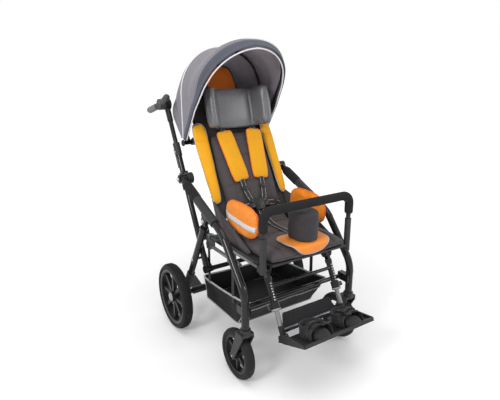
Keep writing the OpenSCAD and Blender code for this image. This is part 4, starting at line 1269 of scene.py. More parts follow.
def build_hips():
    s = sizes()
    lo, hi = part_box("hip_pads")
    co = points_of(NODES["hip_pads"])
    base = co[co[:, 0] > 0][:, 0].min()
    yc, zc = (lo.y + hi.y) / 2, (lo.z + hi.z) / 2
    v, f, loop = crown(hi.y - lo.y, hi.z - lo.z, hi.x - base, 0.026, 44, 34, under=0.002, power=3.0)
    m = Matrix(((0, 0, 1, base), (1, 0, 0, yc), (0, 1, 0, zc), (0, 0, 0, 1)))
    pad = placed(tidy(piece("hip_pad_left", v, f, "satin_orange")), m)
    puffed(pad, 0.0045, 4.5, s.puff * 0.8, lambda c: c[:, 0] < base + 0.002, 0.002)
    edge = through(m, loop)
    rings = [edge + np.array((off, 0, 0)) for off in (0.0045, -0.0045)]
    sunk(pad, rings, 0.0035, 0.0018)
    skin = Skin(pad)
    rings = [skin.near(resampled(r, PIPE_STEP, True), STITCH_LIFT) for r in rings]
    pipes = [tube("pipe", r, 0.0019, "orange_piping", 8, closed=True) for r in rings]
    slope = radians(-5)
    along = np.array((0.0, -cos(slope), sin(slope)))
    across = np.array((0.0, sin(slope), cos(slope)))
    start = np.array((hi.x + 0.05, yc, zc - 0.006))
    grid = np.array([[start + along * p + across * q for q in np.linspace(-0.0105, 0.0105, 5)]
                     for p in np.linspace(-0.112, 0.112, 52)])
    paired([(pad, "orange_fabric"), (merged("hip_pad_piping_left", pipes), "orange_fabric"),
            (laid("hip_pad_band_left", skin, grid, (-1, 0, 0), 0.0007, 0.0009, "silver_tape"), "rim_grey")],
           "chassis", ("hip_pads", "hip_pads"), 0.75)


def build_block():
    """The abduction block between the knees: a padded D with seams near its top."""
    lo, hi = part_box("abduction_block")
    cy, r, corner = lo.y + 0.050, 0.0495, 0.012
    back, h = hi.y - 0.0005, hi.z - lo.z
    side = back - corner
    out = [(r * cos(a), cy + r * sin(a)) for a in pi + pi * np.arange(60) / 59]
    out += [(r, y) for y in np.linspace(cy + 0.004, side, 8)]
    bend = [(r - corner + corner * cos(t), side + corner * sin(t)) for t in np.linspace(0.15, pi / 2, 7)]
    out += bend
    out += [(x, back) for x in np.linspace(r - corner - 0.006, -r + corner + 0.006, 12)]
    out += [(-x, y) for x, y in reversed(bend)]
    out += [(-r, y) for y in np.linspace(side, cy + 0.004, 8)]
    out = resampled([(x, y, 0) for x, y in out], 0.004, True)
    centre, n = out.mean(0), len(out)
    # Heights above the base, then below the top, each with the outline's share there.
    rows = [(0.004, 0.60), (0.0, 0.90), (0.003, 0.965), (0.010, 0.992), (0.03, 1.0), (h * 0.5, 1.004)]
    rows += [(h - z, k) for z, k in (
        (0.034, 1.0), (0.0315, 0.988), (0.029, 1.0), (0.020, 0.999), (0.0175, 0.986), (0.015, 0.995), (0.008, 0.965),
        (0.0035, 0.90), (0.0012, 0.75), (0.0002, 0.5), (0.0, 0.2))]
    rings = [np.column_stack([centre[:2] + (out[:, :2] - centre[:2]) * k, np.full(n, lo.z + z)]) for z, k in rows]
    pad = subdivide(tidy(piece("abduction_block_soft", np.vstack(rings), ring_faces(len(rows), n), "block_cloth")))
    co = points_of(pad)
    a = np.arctan2(co[:, 1] - cy, co[:, 0])
    z = (co[:, 2] - lo.z) / h
    rumple = (0.0008 * np.sin(a * 5 + z * 9) + 0.0006 * np.sin(a * 9 - z * 17)) * np.sin(z * pi)
    away = co - np.array((0, cy, 0))
    away[:, 2] = 0
    set_points(pad, co + unit(away) * (rumple - 0.0006)[:, None])
    carried(pad, "abduction", "abduction_block")
    skin, runs = Skin(pad), []
    for z in (h - 0.036, h - 0.0245, h - 0.0125):
        ring = np.column_stack([out[:, 0] * 1.1, cy + (out[:, 1] - cy) * 1.1, np.full(n, lo.z + z)])
        runs.append(skin.near(np.vstack([ring, ring[:1]]), 0.0002))
    carried(stitched("abduction_stitches", runs, "dark_thread", 0.0045), "abduction")


def back_pad(name, material, size, at, edge, puff, channels=(), turn=Matrix.Identity(4), under=0.0, pull=0.3, curl=None,
             hold_low=True, voxel=0.005, flat=False, nu=40, nv=44, taper=0.0, rear=1.0, power=None, shift=0.0):
    """A pad in the back frame: its cloth form, its edge loop and its place."""
    m = BACK @ Matrix.Translation(Vector(at)) @ turn @ Matrix.Rotation(pi / 2, 4, "X")
    m = m @ Matrix.Translation((shift, 0, 0))
    v, f, loop = crown(*size, edge, nu, nv, pull, curl, under, flat, rear, power)
    for pts in (v, loop):
        pts[:, 0] *= 1 - taper * np.clip(0.5 - pts[:, 1] / size[1], 0, 1) ** 1.3
    pad = placed(tidy(piece(name, v, f, material)), m)

    def seams():
        skin = Skin(pad)
        return [skin.cast(through(m, c), -outward(m)) for c in channels]
    sewn = near_lines(seams(), 0.006) if channels else None

    def hold(co):
        keep = height_in(m, co) < 0.004 if hold_low else np.zeros(len(co), bool)
        return keep | sewn(co) if sewn else keep
    puffed(pad, voxel, 4.0, puff, hold, 0.002)
    if channels:
        sunk(pad, seams(), 0.004, 0.0018)
    return pad, through(m, loop), m


def build_back():
    s = sizes()
    up = 0.09
    across = [[(x, y + 0.004 * cos(x * 18), up) for x in np.linspace(-0.122, 0.122, 40)] for y in (-0.0592, 0.0592)]
    along = [[(sgn * 0.082, y, up) for y in np.linspace(-0.168, 0.168, 50)] for sgn in (-1, 1)]
    pad, loop, m = back_pad("back_cushion_soft", "seat_cloth", (0.264, 0.355, 0.044), (0, -0.0173, 0.2345), 0.016,
                            s.puff * 0.6, across + along, pull=0.2, flat=True)
    co = points_of(pad)
    set_points(pad, co - np.clip(height_in(m, co) - 0.0436, 0, None)[:, None] * outward(m))
    skin = Skin(pad)
    carried(pad, "backrest", "back_cushion")
    runs = [run for axis, lines in ((1, across), (0, along)) for l in lines
            for run in beside(skin, m, l, axis, STITCH_LIFT)]
    carried(stitched("back_stitches", runs, "dark_thread", s.stitch_pitch), "backrest")
    carried(ringed("back_piping", skin, loop, 0.0022, "dark_piping"), "backrest")
    build_side_pads()
    build_head_panel()


def build_side_pads():
    s = sizes()
    seam = [(x, 0.098 + x * 0.12, 0.06) for x in np.linspace(-0.029, 0.029, 16)]
    pad, loop, m = back_pad("side_pad_left_soft", "pad_yellow", (0.070, 0.366, 0.024), (0.1335, -0.026, 0.289), 0.010,
                            s.puff * 0.6, [seam], Matrix.Rotation(radians(12), 4, "Z"), under=0.005, power=8.0,
                            voxel=0.0042, taper=0.34, shift=0.035)
    skin = Skin(pad)
    rim = ringed("side_pad_piping_left", skin, loop, 0.0022, "grey_piping")
    thread = stitched("side_pad_stitches_left", beside(skin, m, seam, 1, 0.0003, (-0.004, 0.004)), "orange_thread",
                      s.stitch_pitch)
    paired([(pad, "yellow_fabric"), (rim, "charcoal_fabric"), (thread, "yellow_fabric")], "backrest",
           ("side_pad_left", "side_pad_right"), 0.75)


def build_head_panel():
    """The orange pillow behind the headrest, with a dark border."""
    s = sizes()
    pad, loop, m = back_pad("head_panel_soft", "head_orange", (0.150, 0.168, 0.023), (0, -0.0174, 0.657), 0.009,
                            s.puff * 0.5, pull=0.7, voxel=0.0042, flat=True)
    carried(pad, "backrest", "head_panel")
    ring = eased(resampled(loop, PIPE_STEP, True))
    border = tube("head_panel_binding", ring, 0.0068, "dark_piping", 12, closed=True)
    co = points_of(border)
    set_points(border, co + np.clip(0.0002 - height_in(m, co), 0, None)[:, None] * outward(m))
    carried(border, "backrest")


def build_headrest():
    s = sizes()

    def wing(u):
        q = np.clip((u - 0.55) / 0.33, 0, 1)
        return 0.083 * q * q * (3 - 2 * q)
    tilt = Matrix.Rotation(HEAD_TILT, 4, "X") @ Matrix.Translation((0, -0.0044, 0.014))
    lines = [[(sgn * 0.082, y, 0.2) for y in np.linspace(-0.082, 0.082, 30)] for sgn in (-1, 1)]
    pad, loop, m = back_pad("headrest_pad_soft", "headrest_skin", (0.300, 0.176, 0.036), (0, -0.038, 0.505), 0.025,
                            s.puff * 0.6, lines, tilt, pull=0.16, flat=True, curl=wing, hold_low=False, nu=56, nv=36,
                            rear=0.55)
    carried(pad, "headrest", "headrest_pad")
    skin = Skin(pad)
    seam = ringed("headrest_seam", skin, loop, 0.0020, "headrest_skin", lift=STITCH_LIFT)
    carried(seam, "headrest")
    runs = [run for l in lines for run in beside(skin, m, l, 0, 0.0003)]
    carried(stitched("headrest_stitches", runs, "dark_thread", s.stitch_pitch), "headrest")


# The left webs of the harness from pad to buckle, over the pad's top, and across the lap. Depths are from HARNESS_Y.
WEB_LOW = ((0.0505, -0.0070, 0.194), (0.0485, -0.0045, 0.172), (0.0450, -0.0040, 0.140), (0.0350, -0.0070, 0.102),
           (0.0270, -0.0090, 0.088))
WEB_HIGH = ((0.0735, -0.0060, 0.404), (0.0750, -0.0020, 0.416), (0.0760, 0.012, 0.424), (0.0765, 0.030, 0.428),
            (0.0765, 0.0435, 0.430))
WEB_LAP = ((0.046, -0.0070, 0.072), (0.074, -0.0035, 0.070), (0.104, 0.004, 0.064), (0.126, 0.020, 0.056),
           (0.138, 0.040, 0.050))


def harness_block(name, size, x, y, z, material="buckle_black", bevel=0.0015, turn=0.0):
    m = BACK @ Matrix.Translation((x, HARNESS_Y + y, z)) @ Matrix.Rotation(turn, 4, "Y")
    return block(name, size, m, material, bevel)


def build_harness():
    """Shoulder pads, webs, buckle and their slides."""
    s = sizes()
    pad, loop, m = back_pad("shoulder_pad_left", "pad_yellow", (0.084, 0.232, 0.015), (0.062, HARNESS_Y, 0.298), 0.006,
                            s.puff * 0.4, turn=Matrix.Rotation(radians(7), 4, "Y"), power=9.0, voxel=0.0036,
                            flat=True, nu=24, nv=48)
    skin = Skin(pad)
    rim = ringed("shoulder_pad_piping_left", skin, loop, 0.0024, "orange_piping", 0.005)
    cross = [(x, 0.062, 0.05) for x in np.linspace(-0.032, 0.032, 16)]
    thread = stitched("shoulder_pad_stitches_left", beside(skin, m, cross, 1, 0.0003, (0.0,)), "orange_thread",
                      s.stitch_pitch)
    paired([(pad, "yellow_fabric"), (rim, "orange_fabric"), (thread, "yellow_fabric")], "backrest",
           ("shoulder_pads", "shoulder_pads"), 0.6)
    webs, slides, tongues = [], [], []
    for sgn in (-1, 1):
        for pts, across in ((WEB_LOW, (1, 0, sgn * 0.2)), (WEB_HIGH, (1, 0, sgn * 0.1)), (WEB_LAP, (0.1 * sgn, 0, 1))):
            run = through(BACK, smooth_path([(sgn * x, HARNESS_Y + y, z) for x, y, z in pts], 0.004))
            webs.append(strap("web", run, BACK.to_3x3() @ Vector(across), 0.025, 0.0016, "edge_web"))
        slides += [harness_block("slide", (0.032, 0.007, 0.014), sgn * 0.0462, -0.0050, 0.150, turn=sgn * 0.1),
                   harness_block("slide", (0.014, 0.007, 0.031), sgn * 0.086, -0.0030, 0.068, turn=sgn * 0.12)]
        tongues += [harness_block("tongue", (0.030, 0.007, 0.022), sgn * 0.035, -0.0082, 0.070, bevel=0.002),
                    harness_block("tongue", (0.024, 0.007, 0.020), sgn * 0.029, -0.0082, 0.090, bevel=0.002,
                                  turn=-sgn * 0.3)]
    straps = merged("harness_webs", webs)
    carried(straps, "backrest", "harness_straps")
    buckle = [harness_block("body", (0.046, 0.013, 0.052), 0, -0.0085, 0.072, bevel=0.003),
              harness_block("face", (0.034, 0.004, 0.030), 0, -0.0143, 0.074),
              harness_block("press", (0.018, 0.003, 0.014), 0, -0.0161, 0.074, "dark_moulding", 0.001)]
    clasp = merged("harness_clasp", buckle + tongues + slides)
    carried(clasp, "backrest", "harness_buckle")
    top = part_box("seat_cushion")[1].z
    a = BACK @ Vector((0, HARNESS_Y - 0.0080, 0.050))
    run = [tuple(a), (0, a.y - 0.014, a.z - 0.018), (0, -0.052, top + 0.012), (0, -0.085, top + 0.0032),
           (0, -0.15, top + 0.0022), (0, -0.208, top + 0.0022)]
    crotch = strap("crotch_web", smooth_path(run, 0.004), X_AXIS, 0.032, 0.0018, "edge_web")
    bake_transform(crotch)


# Hood

def hood_section(angle):
    """Reach and corner radius of the hood at an angle, smooth between its bows."""
    a, *columns = np.array(HOOD_ROWS, float).T
    k = int(np.clip(np.searchsorted(a, angle) - 1, 0, len(a) - 2))
    h = a[k + 1] - a[k]
    t = (angle - a[k]) / h
    out = []
    for v in columns:
        slope = np.diff(v) / np.diff(a)
        inner = [0.0 if x * y <= 0 else 2 * x * y / (x + y) for x, y in zip(slope[:-1], slope[1:])]
        tang = np.r_[slope[0], inner, slope[-1]]
        out.append((2 * t ** 3 - 3 * t ** 2 + 1) * v[k] + (t ** 3 - 2 * t ** 2 + t) * h * tang[k]
                   + (-2 * t ** 3 + 3 * t ** 2) * v[k + 1] + (t ** 3 - t ** 2) * h * tang[k + 1])
    return out


def hood_arch(angle, lift, share):
    """Points of one hood section at shares 0 to 1 from the right foot over the top to the left."""
    reach, q = hood_section(angle)
    w, h, low = 0.2076 + lift, reach + 0.0055 + lift, 0.026
    side = h - q
    up, turn, flat = side - low, q * pi / 2, 2 * (w - q)
    total = 2 * up + 2 * turn + flat
    ang = radians(angle)
    ahead = min(1, max(0, (angle - 31) / 3))
    out = []
    for s in np.asarray(share) * total:
        if s < up:
            x, r = -w, low + s
        elif s < up + turn:
            t = (s - up) / q
            x, r = -w + q - q * cos(t), side + q * sin(t)
        elif s < up + turn + flat:
            x, r = -w + q + (s - up - turn), h
        elif s < up + 2 * turn + flat:
            t = pi / 2 - (s - up - turn - flat) / q
            x, r = w - q + q * cos(t), side + q * sin(t)
        else:
            x, r = w, low + (total - s)
        if abs(x) > 0.02:
            x -= copysign(BRIM_TAPER * ahead * min(1, max(0, (r - 0.18) / 0.15)), x)
        out.append((x, HOOD_PIVOT.y - r * sin(ang), HOOD_PIVOT.z + r * cos(ang)))
    return np.array(out)


def hood_sheet(name, first, last, drawn):
    """One panel of the hood between two sections, drawn in between its bows, with soft folds and a lining."""
    rows = 30
    share = np.linspace(0, 1, 121)
    angles = np.linspace(first, last, rows)
    outer, inner = (np.array([hood_arch(a, lift, share) for a in angles]) for lift in (0.002, 0.0006))
    n = unit(np.cross(np.gradient(outer, axis=0), np.gradient(outer, axis=1)))
    mid = np.array((0, HOOD_PIVOT.y - 0.05, HOOD_PIVOT.z + 0.1))
    n *= np.sign(np.sum(n * (outer - mid), axis=2))[..., None]
    t, k = share[None, :], np.linspace(0, 1, rows)[:, None]
    span = np.sin(np.linspace(0, pi, rows))[:, None]
    sidewise = np.exp(-((t - 0.14) / 0.11) ** 2) + np.exp(-((t - 0.86) / 0.11) ** 2)
    fold = 0.0062 * np.sin(k * pi * 3.4 + 6 * t) * sidewise
    fold = fold + 0.0016 * np.sin(t * 62 + k * 4) * (0.4 + sidewise) * 0.6
    depth = -drawn * span ** 1.2 * (0.55 + 0.45 * np.sin(pi * t) ** 0.5) * (1 - 0.3 * sidewise)
    move = (depth + fold * span)[..., None] * n
    sheet = shell(name, outer + move, inner + move, "hood_cloth")
    # Inner faces take the lining, painted lighter than the hood cloth to lift the shade inside the hood.
    sheet.data.materials.append(finish("hood_lining"))
    inside = HOOD_PIVOT + Vector((0, -0.03, 0.08))
    for p in sheet.data.polygons:
        if p.normal.dot(inside - p.center) > 0:
            p.material_index = 1
    return sheet, outer + move


def fan(obj, first, last):
    """Reads a hood panel's points, and does nothing with them."""
    co = points_of(obj)


def build_hood():
    behind, over, ahead = (HOOD_PIVOT + Vector((0, y, 0.25)) for y in (0.20, 0.0, -0.20))
    for name, ends, drawn, blend, bows, names in (
            ("rear", (HOOD_REAR, HOOD_MID), 0.006, ("backrest", "hood_middle", behind, over), (-34, 0),
             ["hood_rear_bow", "hood_mid_bow"]),
            ("front", (HOOD_MID, HOOD_FRONT), 0.004, ("hood_middle", "hood_front", over, ahead), (0, 28),
             ["hood_mid_bow", "hood_front_bow"])):
        sheet, grid = hood_sheet("hood_%s_panel" % name, *ends, drawn)
        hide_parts("hood_cover")
        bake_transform(sheet)
        fan(sheet, *bows)
        declared_sheet(sheet, grid)
    sheet.data.materials.append(finish("hood_band"))
    for p in sheet.data.polygons:
        away = p.center - HOOD_PIVOT
        if p.material_index == 0 and degrees(atan2(-away.y, away.z)) > HOOD_BAND_FROM:
            p.material_index = 2
    share = np.linspace(0, 1, 200)
    arch = resampled(hood_arch(33.6, 0.0035, share), PIPE_STEP)
    brim = tube("hood_brim", arch, 0.0115, "hood_band", 20, flat=0.42, up=(-1, 0, 0))
    carried(brim, "hood_front")
    front = radians(HOOD_FRONT)
    nose = np.array((0, -cos(front), -sin(front))) * 0.0108
    for name, arch, radius, material, body in (
            ("hood_front_piping", hood_arch(HOOD_FRONT, -0.003, share) + nose, 0.0030, "white_piping", "hood_front"),
            ("hood_mid_piping", hood_arch(HOOD_MID, 0.0032, share), 0.0026, "white_piping", "hood_middle"),
            ("hood_rear_binding", hood_arch(HOOD_REAR, 0.0012, share), 0.0030, "grey_piping", "backrest")):
        carried(tube(name, resampled(arch, PIPE_STEP), radius, material, 8), body)
    thread = stitched("hood_front_stitches", [hood_arch(29.6, 0.0030, share)], "dark_thread", 0.005)
    carried(thread, "hood_front")
    caps = [lathe("pivot_cap", PIVOT_CAP, (sgn * 0.2125, *HOOD_PIVOT.yz), (sgn, 0, 0), "dark_moulding", 32)
            for sgn in (-1, 1)]
    carried(merged("hood_pivot_caps", caps), "backrest")
    build_hood_curtain()


# The left half of the curtain's lower edge in the back frame, from the middle outwards.
CURTAIN_EDGE = ((0.130, 0.0165, 0.584), (0.172, 0.020, 0.572), (0.184, 0.030, 0.520), (0.186, 0.046, 0.455))


def build_hood_curtain():
    """The cloth that closes the hood behind, from its rear bow to the top of the back frame."""
    share = np.linspace(0.05, 0.95, 81)
    top = hood_arch(-41.4, -0.0006, share)
    edge = [(-x, y, z) for x, y, z in reversed(CURTAIN_EDGE)] + [(0.0, 0.0165, 0.585), *CURTAIN_EDGE]
    low = through(BACK, smooth_path(edge, 0.004))
    d = lengths(low)
    low = at_lengths(low, d, np.linspace(0, d[-1], len(share)))
    q = np.linspace(0, 1, 13)[:, None, None]
    grid = top + q * (low - top)
    grid[..., 0] = (top + q ** 0.35 * (low - top))[..., 0]
    grid[..., 2] -= np.sin(pi * q[..., 0]) * (0.010 + 0.0025 * np.sin(share * 50)[None, :])
    up = np.array((0, -0.0004, 0.0009))
    sheet = shell("hood_rear_curtain", grid + up, grid - up, "hood_cloth")
    declared_sheet(sheet, grid)
    carried(sheet, "backrest")


# Foam, feet and basket

def pinched(d, total, depth, reach):
    """How far a foam sleeve narrows toward its two ends."""
    return 1 - depth * np.exp(-(d / reach) ** 2) - depth * np.exp(-((total - d) / reach) ** 2)


def build_bumper():
    lo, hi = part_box("bumper_foam")
    y, r = (lo.y + hi.y) / 2, (hi.y - lo.y) / 2
    x, top, low = hi.x - r, hi.z - r, lo.z + 0.002
    path = filleted([(-x, y, low), (-x, y, top), (x, y, top), (x, y, low)], 0.062, 0.006)
    d = lengths(path)
    wave = pinched(d, d[-1], 0.02, 0.008) + 0.004 * np.sin(d * 70)
    bar = tube("bumper_foam_soft", path, (r - 0.0002) * wave, "foam_black", 28)
    carried(bar, "bumper", "bumper_foam")
    along = Vector((0, -cos(ARM_SLOPE), -sin(ARM_SLOPE)))
    sleeves = []
    for sgn in (-1, 1):
        co = points_of(NODES["armrest_pads"])
        co = co[co[:, 0] * sgn > 0]
        left, right = co[:, 0].min(), co[:, 0].max()
        ends = [(Vector((0, p[1], p[2])) - ARM_START).dot(along) for p in co]
        line = [ARM_START + along * q + Vector(((left + right) / 2, 0, 0))
                for q in np.linspace(min(ends) + 0.003, max(ends) - 0.003, 30)]
        q = np.linspace(0, 1, 30)
        bulge = pinched(q, 1, 0.06, 0.05) + 0.012 * np.sin(q * pi)
        sleeves.append(tube("armrest", line, ((right - left) / 2 - 0.0002) * bulge, "foam_black", 28))
    arms = merged("armrest_foam", sleeves)
    carried(arms, "front_frame", "armrest_pads")


def build_feet():
    turn = np.array(PLATE.to_3x3())
    soft, hard = [], []
    for sgn in (-1, 1):
        cx, cy = sgn * 0.076, -0.086

        def arc(radius, angles, z, rise=0.0):
            return through(PLATE, [(cx + radius * cos(t), cy + radius * sin(t), z + rise * sin(t))
                                   for t in angles])
        round_heel = np.linspace(radians(-22), radians(202), 44)
        soft.append(tube("cuff", arc(0.0452, round_heel, 0.0185, 0.006), 0.0044, "cuff_cloth", 18, flat=5.1,
                         up=tuple(turn @ (0, 0, 1))))
        v, f, _ = crown(0.074, 0.094, 0.027, 0.012, 16, 18, flat=True, power=3.0)
        soft.append(placed(subdivide(tidy(piece("tongue", v, f, "cuff_cloth"))),
                           PLATE @ Matrix.Translation((cx, -0.104, -0.0055))))
        soft.append(tube("collar", arc(0.0445, round_heel, 0.0400, 0.006), 0.0044, "cuff_cloth", 10))
        for y, top, wide in ((-0.100, 0.0455, 0.025), (-0.1235, 0.0385, 0.023)):
            half = ((0.012, top), (0.036, top - 0.006), (0.0480, 0.018), (0.0475, -0.003))
            over = [(cx - x, y, z) for x, z in reversed(half)] + [(cx + x, y, z) for x, z in half]
            tail = [(cx - sgn * 0.006, y, top + 0.0026), (cx + sgn * 0.012, y - 0.001, top + 0.0048),
                    (cx + sgn * 0.032, y - 0.002, top + 0.0005)]
            for path, step, width, thick in ((over, 0.004, wide, 0.0018), (tail, 0.003, wide * 0.9, 0.0016)):
                soft.append(strap("web", through(PLATE, smooth_path(path, step)), turn @ (0, 1, 0), width, thick,
                                  "plain_web"))
            for size, lift, material, bevel in (((0.026, wide + 0.006, 0.007), 0.0012, "buckle_black", 0.0018),
                                                ((0.006, wide + 0.002, 0.003), 0.0052, "dark_moulding", 0.0008)):
                m = PLATE @ Matrix.Translation((cx - sgn * 0.018, y, top + lift)) @ Matrix.Rotation(sgn * 0.12, 4, "Y")
                hard.append(block("clip", size, m, material, bevel))
        sole = arc(0.034, np.linspace(0, 2 * pi, 40, endpoint=False), -0.0035)
        soft.append(tube("sole_edge", sole, 0.0022, "cuff_cloth", 8, closed=True))
    cuffs = merged("ankle_cuffs", soft)
    carried(cuffs, "foot_plate", "foot_straps")
    carried(merged("ankle_clips", hard), "foot_plate")
    build_heel_band()
    build_foot_trim()


def foot_line(sgn, distances):
    """Points on a foot tube's axis at distances below its top."""
    return np.array([FOOT_TOP + FOOT_DOWN * s + np.array((sgn * FOOT_X, 0, 0)) for s in distances])


def build_foot_trim():
    """Studs of the adjustment holes and pale collars on the foot tubes."""
    skin = Skin(NODES["foot_hangers"])
    spots, rings = [], []
    for sgn in (-1, 1):
        line = foot_line(sgn, np.arange(0.050, 0.114, 0.0105))
        spots += [(p, FOOT_FRONT, 0.0026) for p in skin.cast(line + FOOT_FRONT * 0.06, -FOOT_FRONT, -0.0004)]
        at, end = foot_line(sgn, (0.1475, 0.149))
        r = np.linalg.norm(skin.cast([end + FOOT_FRONT * 0.06], -FOOT_FRONT)[0] - end)
        profile = [(r - 0.003, -0.0042), (r + 0.0008, -0.0036), (r + 0.0014, 0.0), (r + 0.0008, 0.0036),
                   (r - 0.003, 0.0042)]
        rings.append(lathe("collar", profile, at, FOOT_DOWN, "rim_pale", 32, True))
    carried(bolted("foot_tube_studs", spots), "foot_hanger")
    carried(merged("foot_tube_collars", rings), "foot_hanger")


def build_heel_band():
    """The cloth band behind the heels, looped on both foot tubes."""
    last = 0.240
    rows, cols = np.linspace(0.209, last, 9), np.linspace(-1, 1, 61)
    mid = np.zeros((len(rows), len(cols), 3))
    for i, s in enumerate(rows):
        for j, u in enumerate(cols):
            full = 1 - u * u
            sag = 0.0100 + 0.026 * full + 0.0016 * sin(u * 15 + i * 0.5) * full
            rise = min(1, max(0, (0.87 - abs(u)) / 0.12))
            rise *= rise * (3 - 2 * rise)
            down = s + 0.004 * full - (last - s) * 1.3 * rise
            mid[i, j] = FOOT_TOP + FOOT_DOWN * down - FOOT_FRONT * sag + np.array((u * FOOT_X, 0, 0))
    outer = mid - FOOT_FRONT * 0.0011
    band = shell("heel_band", outer, mid + FOOT_FRONT * 0.0011, "cuff_cloth")
    declared_sheet(band, outer)
    carried(band, "foot_slide")
    loops = [tube("loop", foot_line(sgn, np.linspace(0.2115, 0.241, 9)), 0.0112, "cuff_cloth", 24) for sgn in (-1, 1)]
    carried(merged("heel_band_loops", loops), "foot_slide")


BASKET_POINTS = 140
BASKET_LOW = 0.1545
BASKET_CLOTH = 0.0024


def basket_ring(h, sag=0.0):
    """The basket's outline at a share of its height, with how far each point is from a corner and its way out."""
    y0, y1, w, r = -0.122 + (-0.206 + 0.122) * h, 0.170 + (0.185 - 0.170) * h, 0.200 + 0.003 * h, 0.028
    pts = []
    for cx, cy, first in ((w - r, y1 - r, 0), (-w + r, y1 - r, 90), (-w + r, y0 + r, 180), (w - r, y0 + r, 270)):
        for a in np.radians(first + np.linspace(0, 90, 9)):
            pts.append((cx + r * cos(a), cy + r * sin(a), 0))
    p = resampled(pts, 0.008, True)
    p = np.vstack([p, p[:1]])
    d = lengths(p)
    q = at_lengths(p, d, np.linspace(0, d[-1], BASKET_POINTS, endpoint=False))
    c = np.array((0, (y0 + y1) / 2, 0))
    beside_wall = np.abs(np.abs(q[:, 0]) - w) < 0.004
    belly = np.where(beside_wall, 1 - ((q[:, 1] - c[1]) / ((y1 - y0) / 2)) ** 2, 1 - (q[:, 0] / w) ** 2)
    belly = np.clip(belly, 0, 1)
    out = unit(q - c)
    q[:, 2] = BASKET_LOW - sag * belly ** 0.8
    return q, belly, out


def basket_wall():
    """Rings of the basket's outer and inner face from its foot to its rim."""
    outer, inner = [], []
    for h in np.linspace(0, 1, 15):
        q, belly, out = basket_ring(h, 0.010 * h ** 2)
        rim = 0.250 + (0.186 - np.clip(q[:, 1], -0.206, 0.186)) / 0.392 * 0.0365
        q[:, 2] += (rim - BASKET_LOW) * h
        full = sin(pi * h)
        bow = -0.006 * full * belly + 0.002 * np.sin(np.arange(BASKET_POINTS) * 0.55 + h * 5) * full - 0.001
        outer.append(q + out * bow[:, None])
        inner.append(q + out * (bow - BASKET_CLOTH)[:, None] + np.array((0, 0, BASKET_CLOTH if h == 0 else 0.0)))
    return outer, inner


def build_basket():
    outer, inner = basket_wall()
    base = basket_ring(0)[0]
    c, floor = base.mean(0), []
    for k in (0.04, 0.25, 0.5, 0.75, 0.92):
        q = c + (base - c) * k
        q[:, 2] = BASKET_LOW - 0.0012 * (1 - k) + 0.0006 * np.sin(np.arange(BASKET_POINTS) * 0.3 + 7 * k)
        floor.append(q)
    rings = floor + outer + inner[::-1] + [q + np.array((0, 0, BASKET_CLOTH)) for q in floor[::-1]]
    bag = tidy(piece("basket_bag", np.vstack(rings), ring_faces(len(rings), BASKET_POINTS), "basket_cloth"))
    trims = [tube("rim", outer[-1], 0.0042, "grey_piping", 8, closed=True),
             tube("foot", outer[0] + np.array((0, 0, 0.001)), 0.0028, "grey_piping", 8, closed=True)]
    row = outer[9]
    pocket = sorted((p for p in row if p[1] < row[:, 1].min() + 0.02), key=lambda p: p[0])
    pocket = np.array(pocket) + np.array((0, -0.0014, 0))
    trims.append(tube("pocket", resampled(pocket, PIPE_STEP), 0.0024, "grey_piping", 8))
    for sgn in (-1, 1):
        for end in (np.min, np.max):
            up = []
            for row in outer:
                side = row[row[:, 0] * sgn > 0]
                near = side[np.abs(side[:, 1] - end(side[:, 1])) < 0.016]
                up.append(near[np.argmax(np.abs(near[:, 0]))])
            trims.append(tube("corner", smooth_path(up, 0.006), 0.0022, "grey_piping", 8))
    edges = merged("basket_piping", trims)
    webs = []
    for sgn in (-1, 1):
        for y in (0.109, -0.091):
            hang = [(sgn * x, y, z) for x, z in ((0.2035, 0.238), (0.2042, 0.29), (0.2032, 0.36), (0.2025, 0.4122))]
            webs.append(strap("hanger", smooth_path(hang, 0.006), (0, 1, 0), 0.020, 0.0018, "plain_web"))
    for x in (-0.150, 0.0, 0.150):
        tie = [(x, -0.1930, 0.268), (x, -0.2000, 0.2750), (x, -0.2120, 0.2870), (x, -0.2238, 0.2965)]
        webs.append(strap("tie", smooth_path(tie, 0.004), X_AXIS, 0.022, 0.0018, "plain_web"))
    ties = merged("basket_ties", webs)
    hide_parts("basket")
    for o in (bag, edges, ties):
        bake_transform(o)


# Stage

WHITE = (1, 1, 1, 1)


def build_camera(lens):
    cam = bpy.data.cameras.new("photo_camera")
    cam.lens = lens
    cam.sensor_width = 36.0
    cam.clip_end = 100.0
    eye = linked("photo_camera", cam)
    flat = cos(CAMERA_RISE)
    back = Vector((sin(CAMERA_TURN) * flat, -cos(CAMERA_TURN) * flat, sin(CAMERA_RISE)))
    right = Vector((cos(CAMERA_TURN), sin(CAMERA_TURN), 0))
    m = Matrix((right, back.cross(right), back)).transposed().to_4x4() @ Matrix.Rotation(CAMERA_ROLL, 4, "Z")
    eye.matrix_world = Matrix.Translation(CAMERA_SPOT) @ m
    bpy.context.scene.camera = eye


def build_floor(stage):
    """A pale floor that lifts toward white with distance, for the camera and for reflections only."""
    floor = Finish("pale_floor", (0.95, 0.95, 0.955), 0.9, shine=0.0)
    floor.mottled(1.2, 0.995, 1.003)
    away = floor.node("ShaderNodeVectorMath", {0: floor.place}, operation="LENGTH")
    spread = floor.node("ShaderNodeMapRange", {
        "Value": away.outputs["Value"], "From Min": 0.7, "From Max": 2.6, "To Min": stage.floor_glow,
        "To Max": stage.far_glow})
    ray = floor.node("ShaderNodeLightPath").outputs
    seen = floor.math("MAXIMUM", ray["Is Camera Ray"], ray["Is Glossy Ray"])
    floor.skin["Emission Color"].default_value = WHITE
    floor.feed(floor.skin["Emission Strength"], floor.math("MULTIPLY", seen, spread.outputs["Result"]))
    n = 40
    xs = np.linspace(-stage.floor_size, stage.floor_size, n)
    grid = [(x, y, -0.0006) for x in xs for y in xs]
    piece("pale_floor", grid, grid_faces(n, n, 0, True), floor.mat)


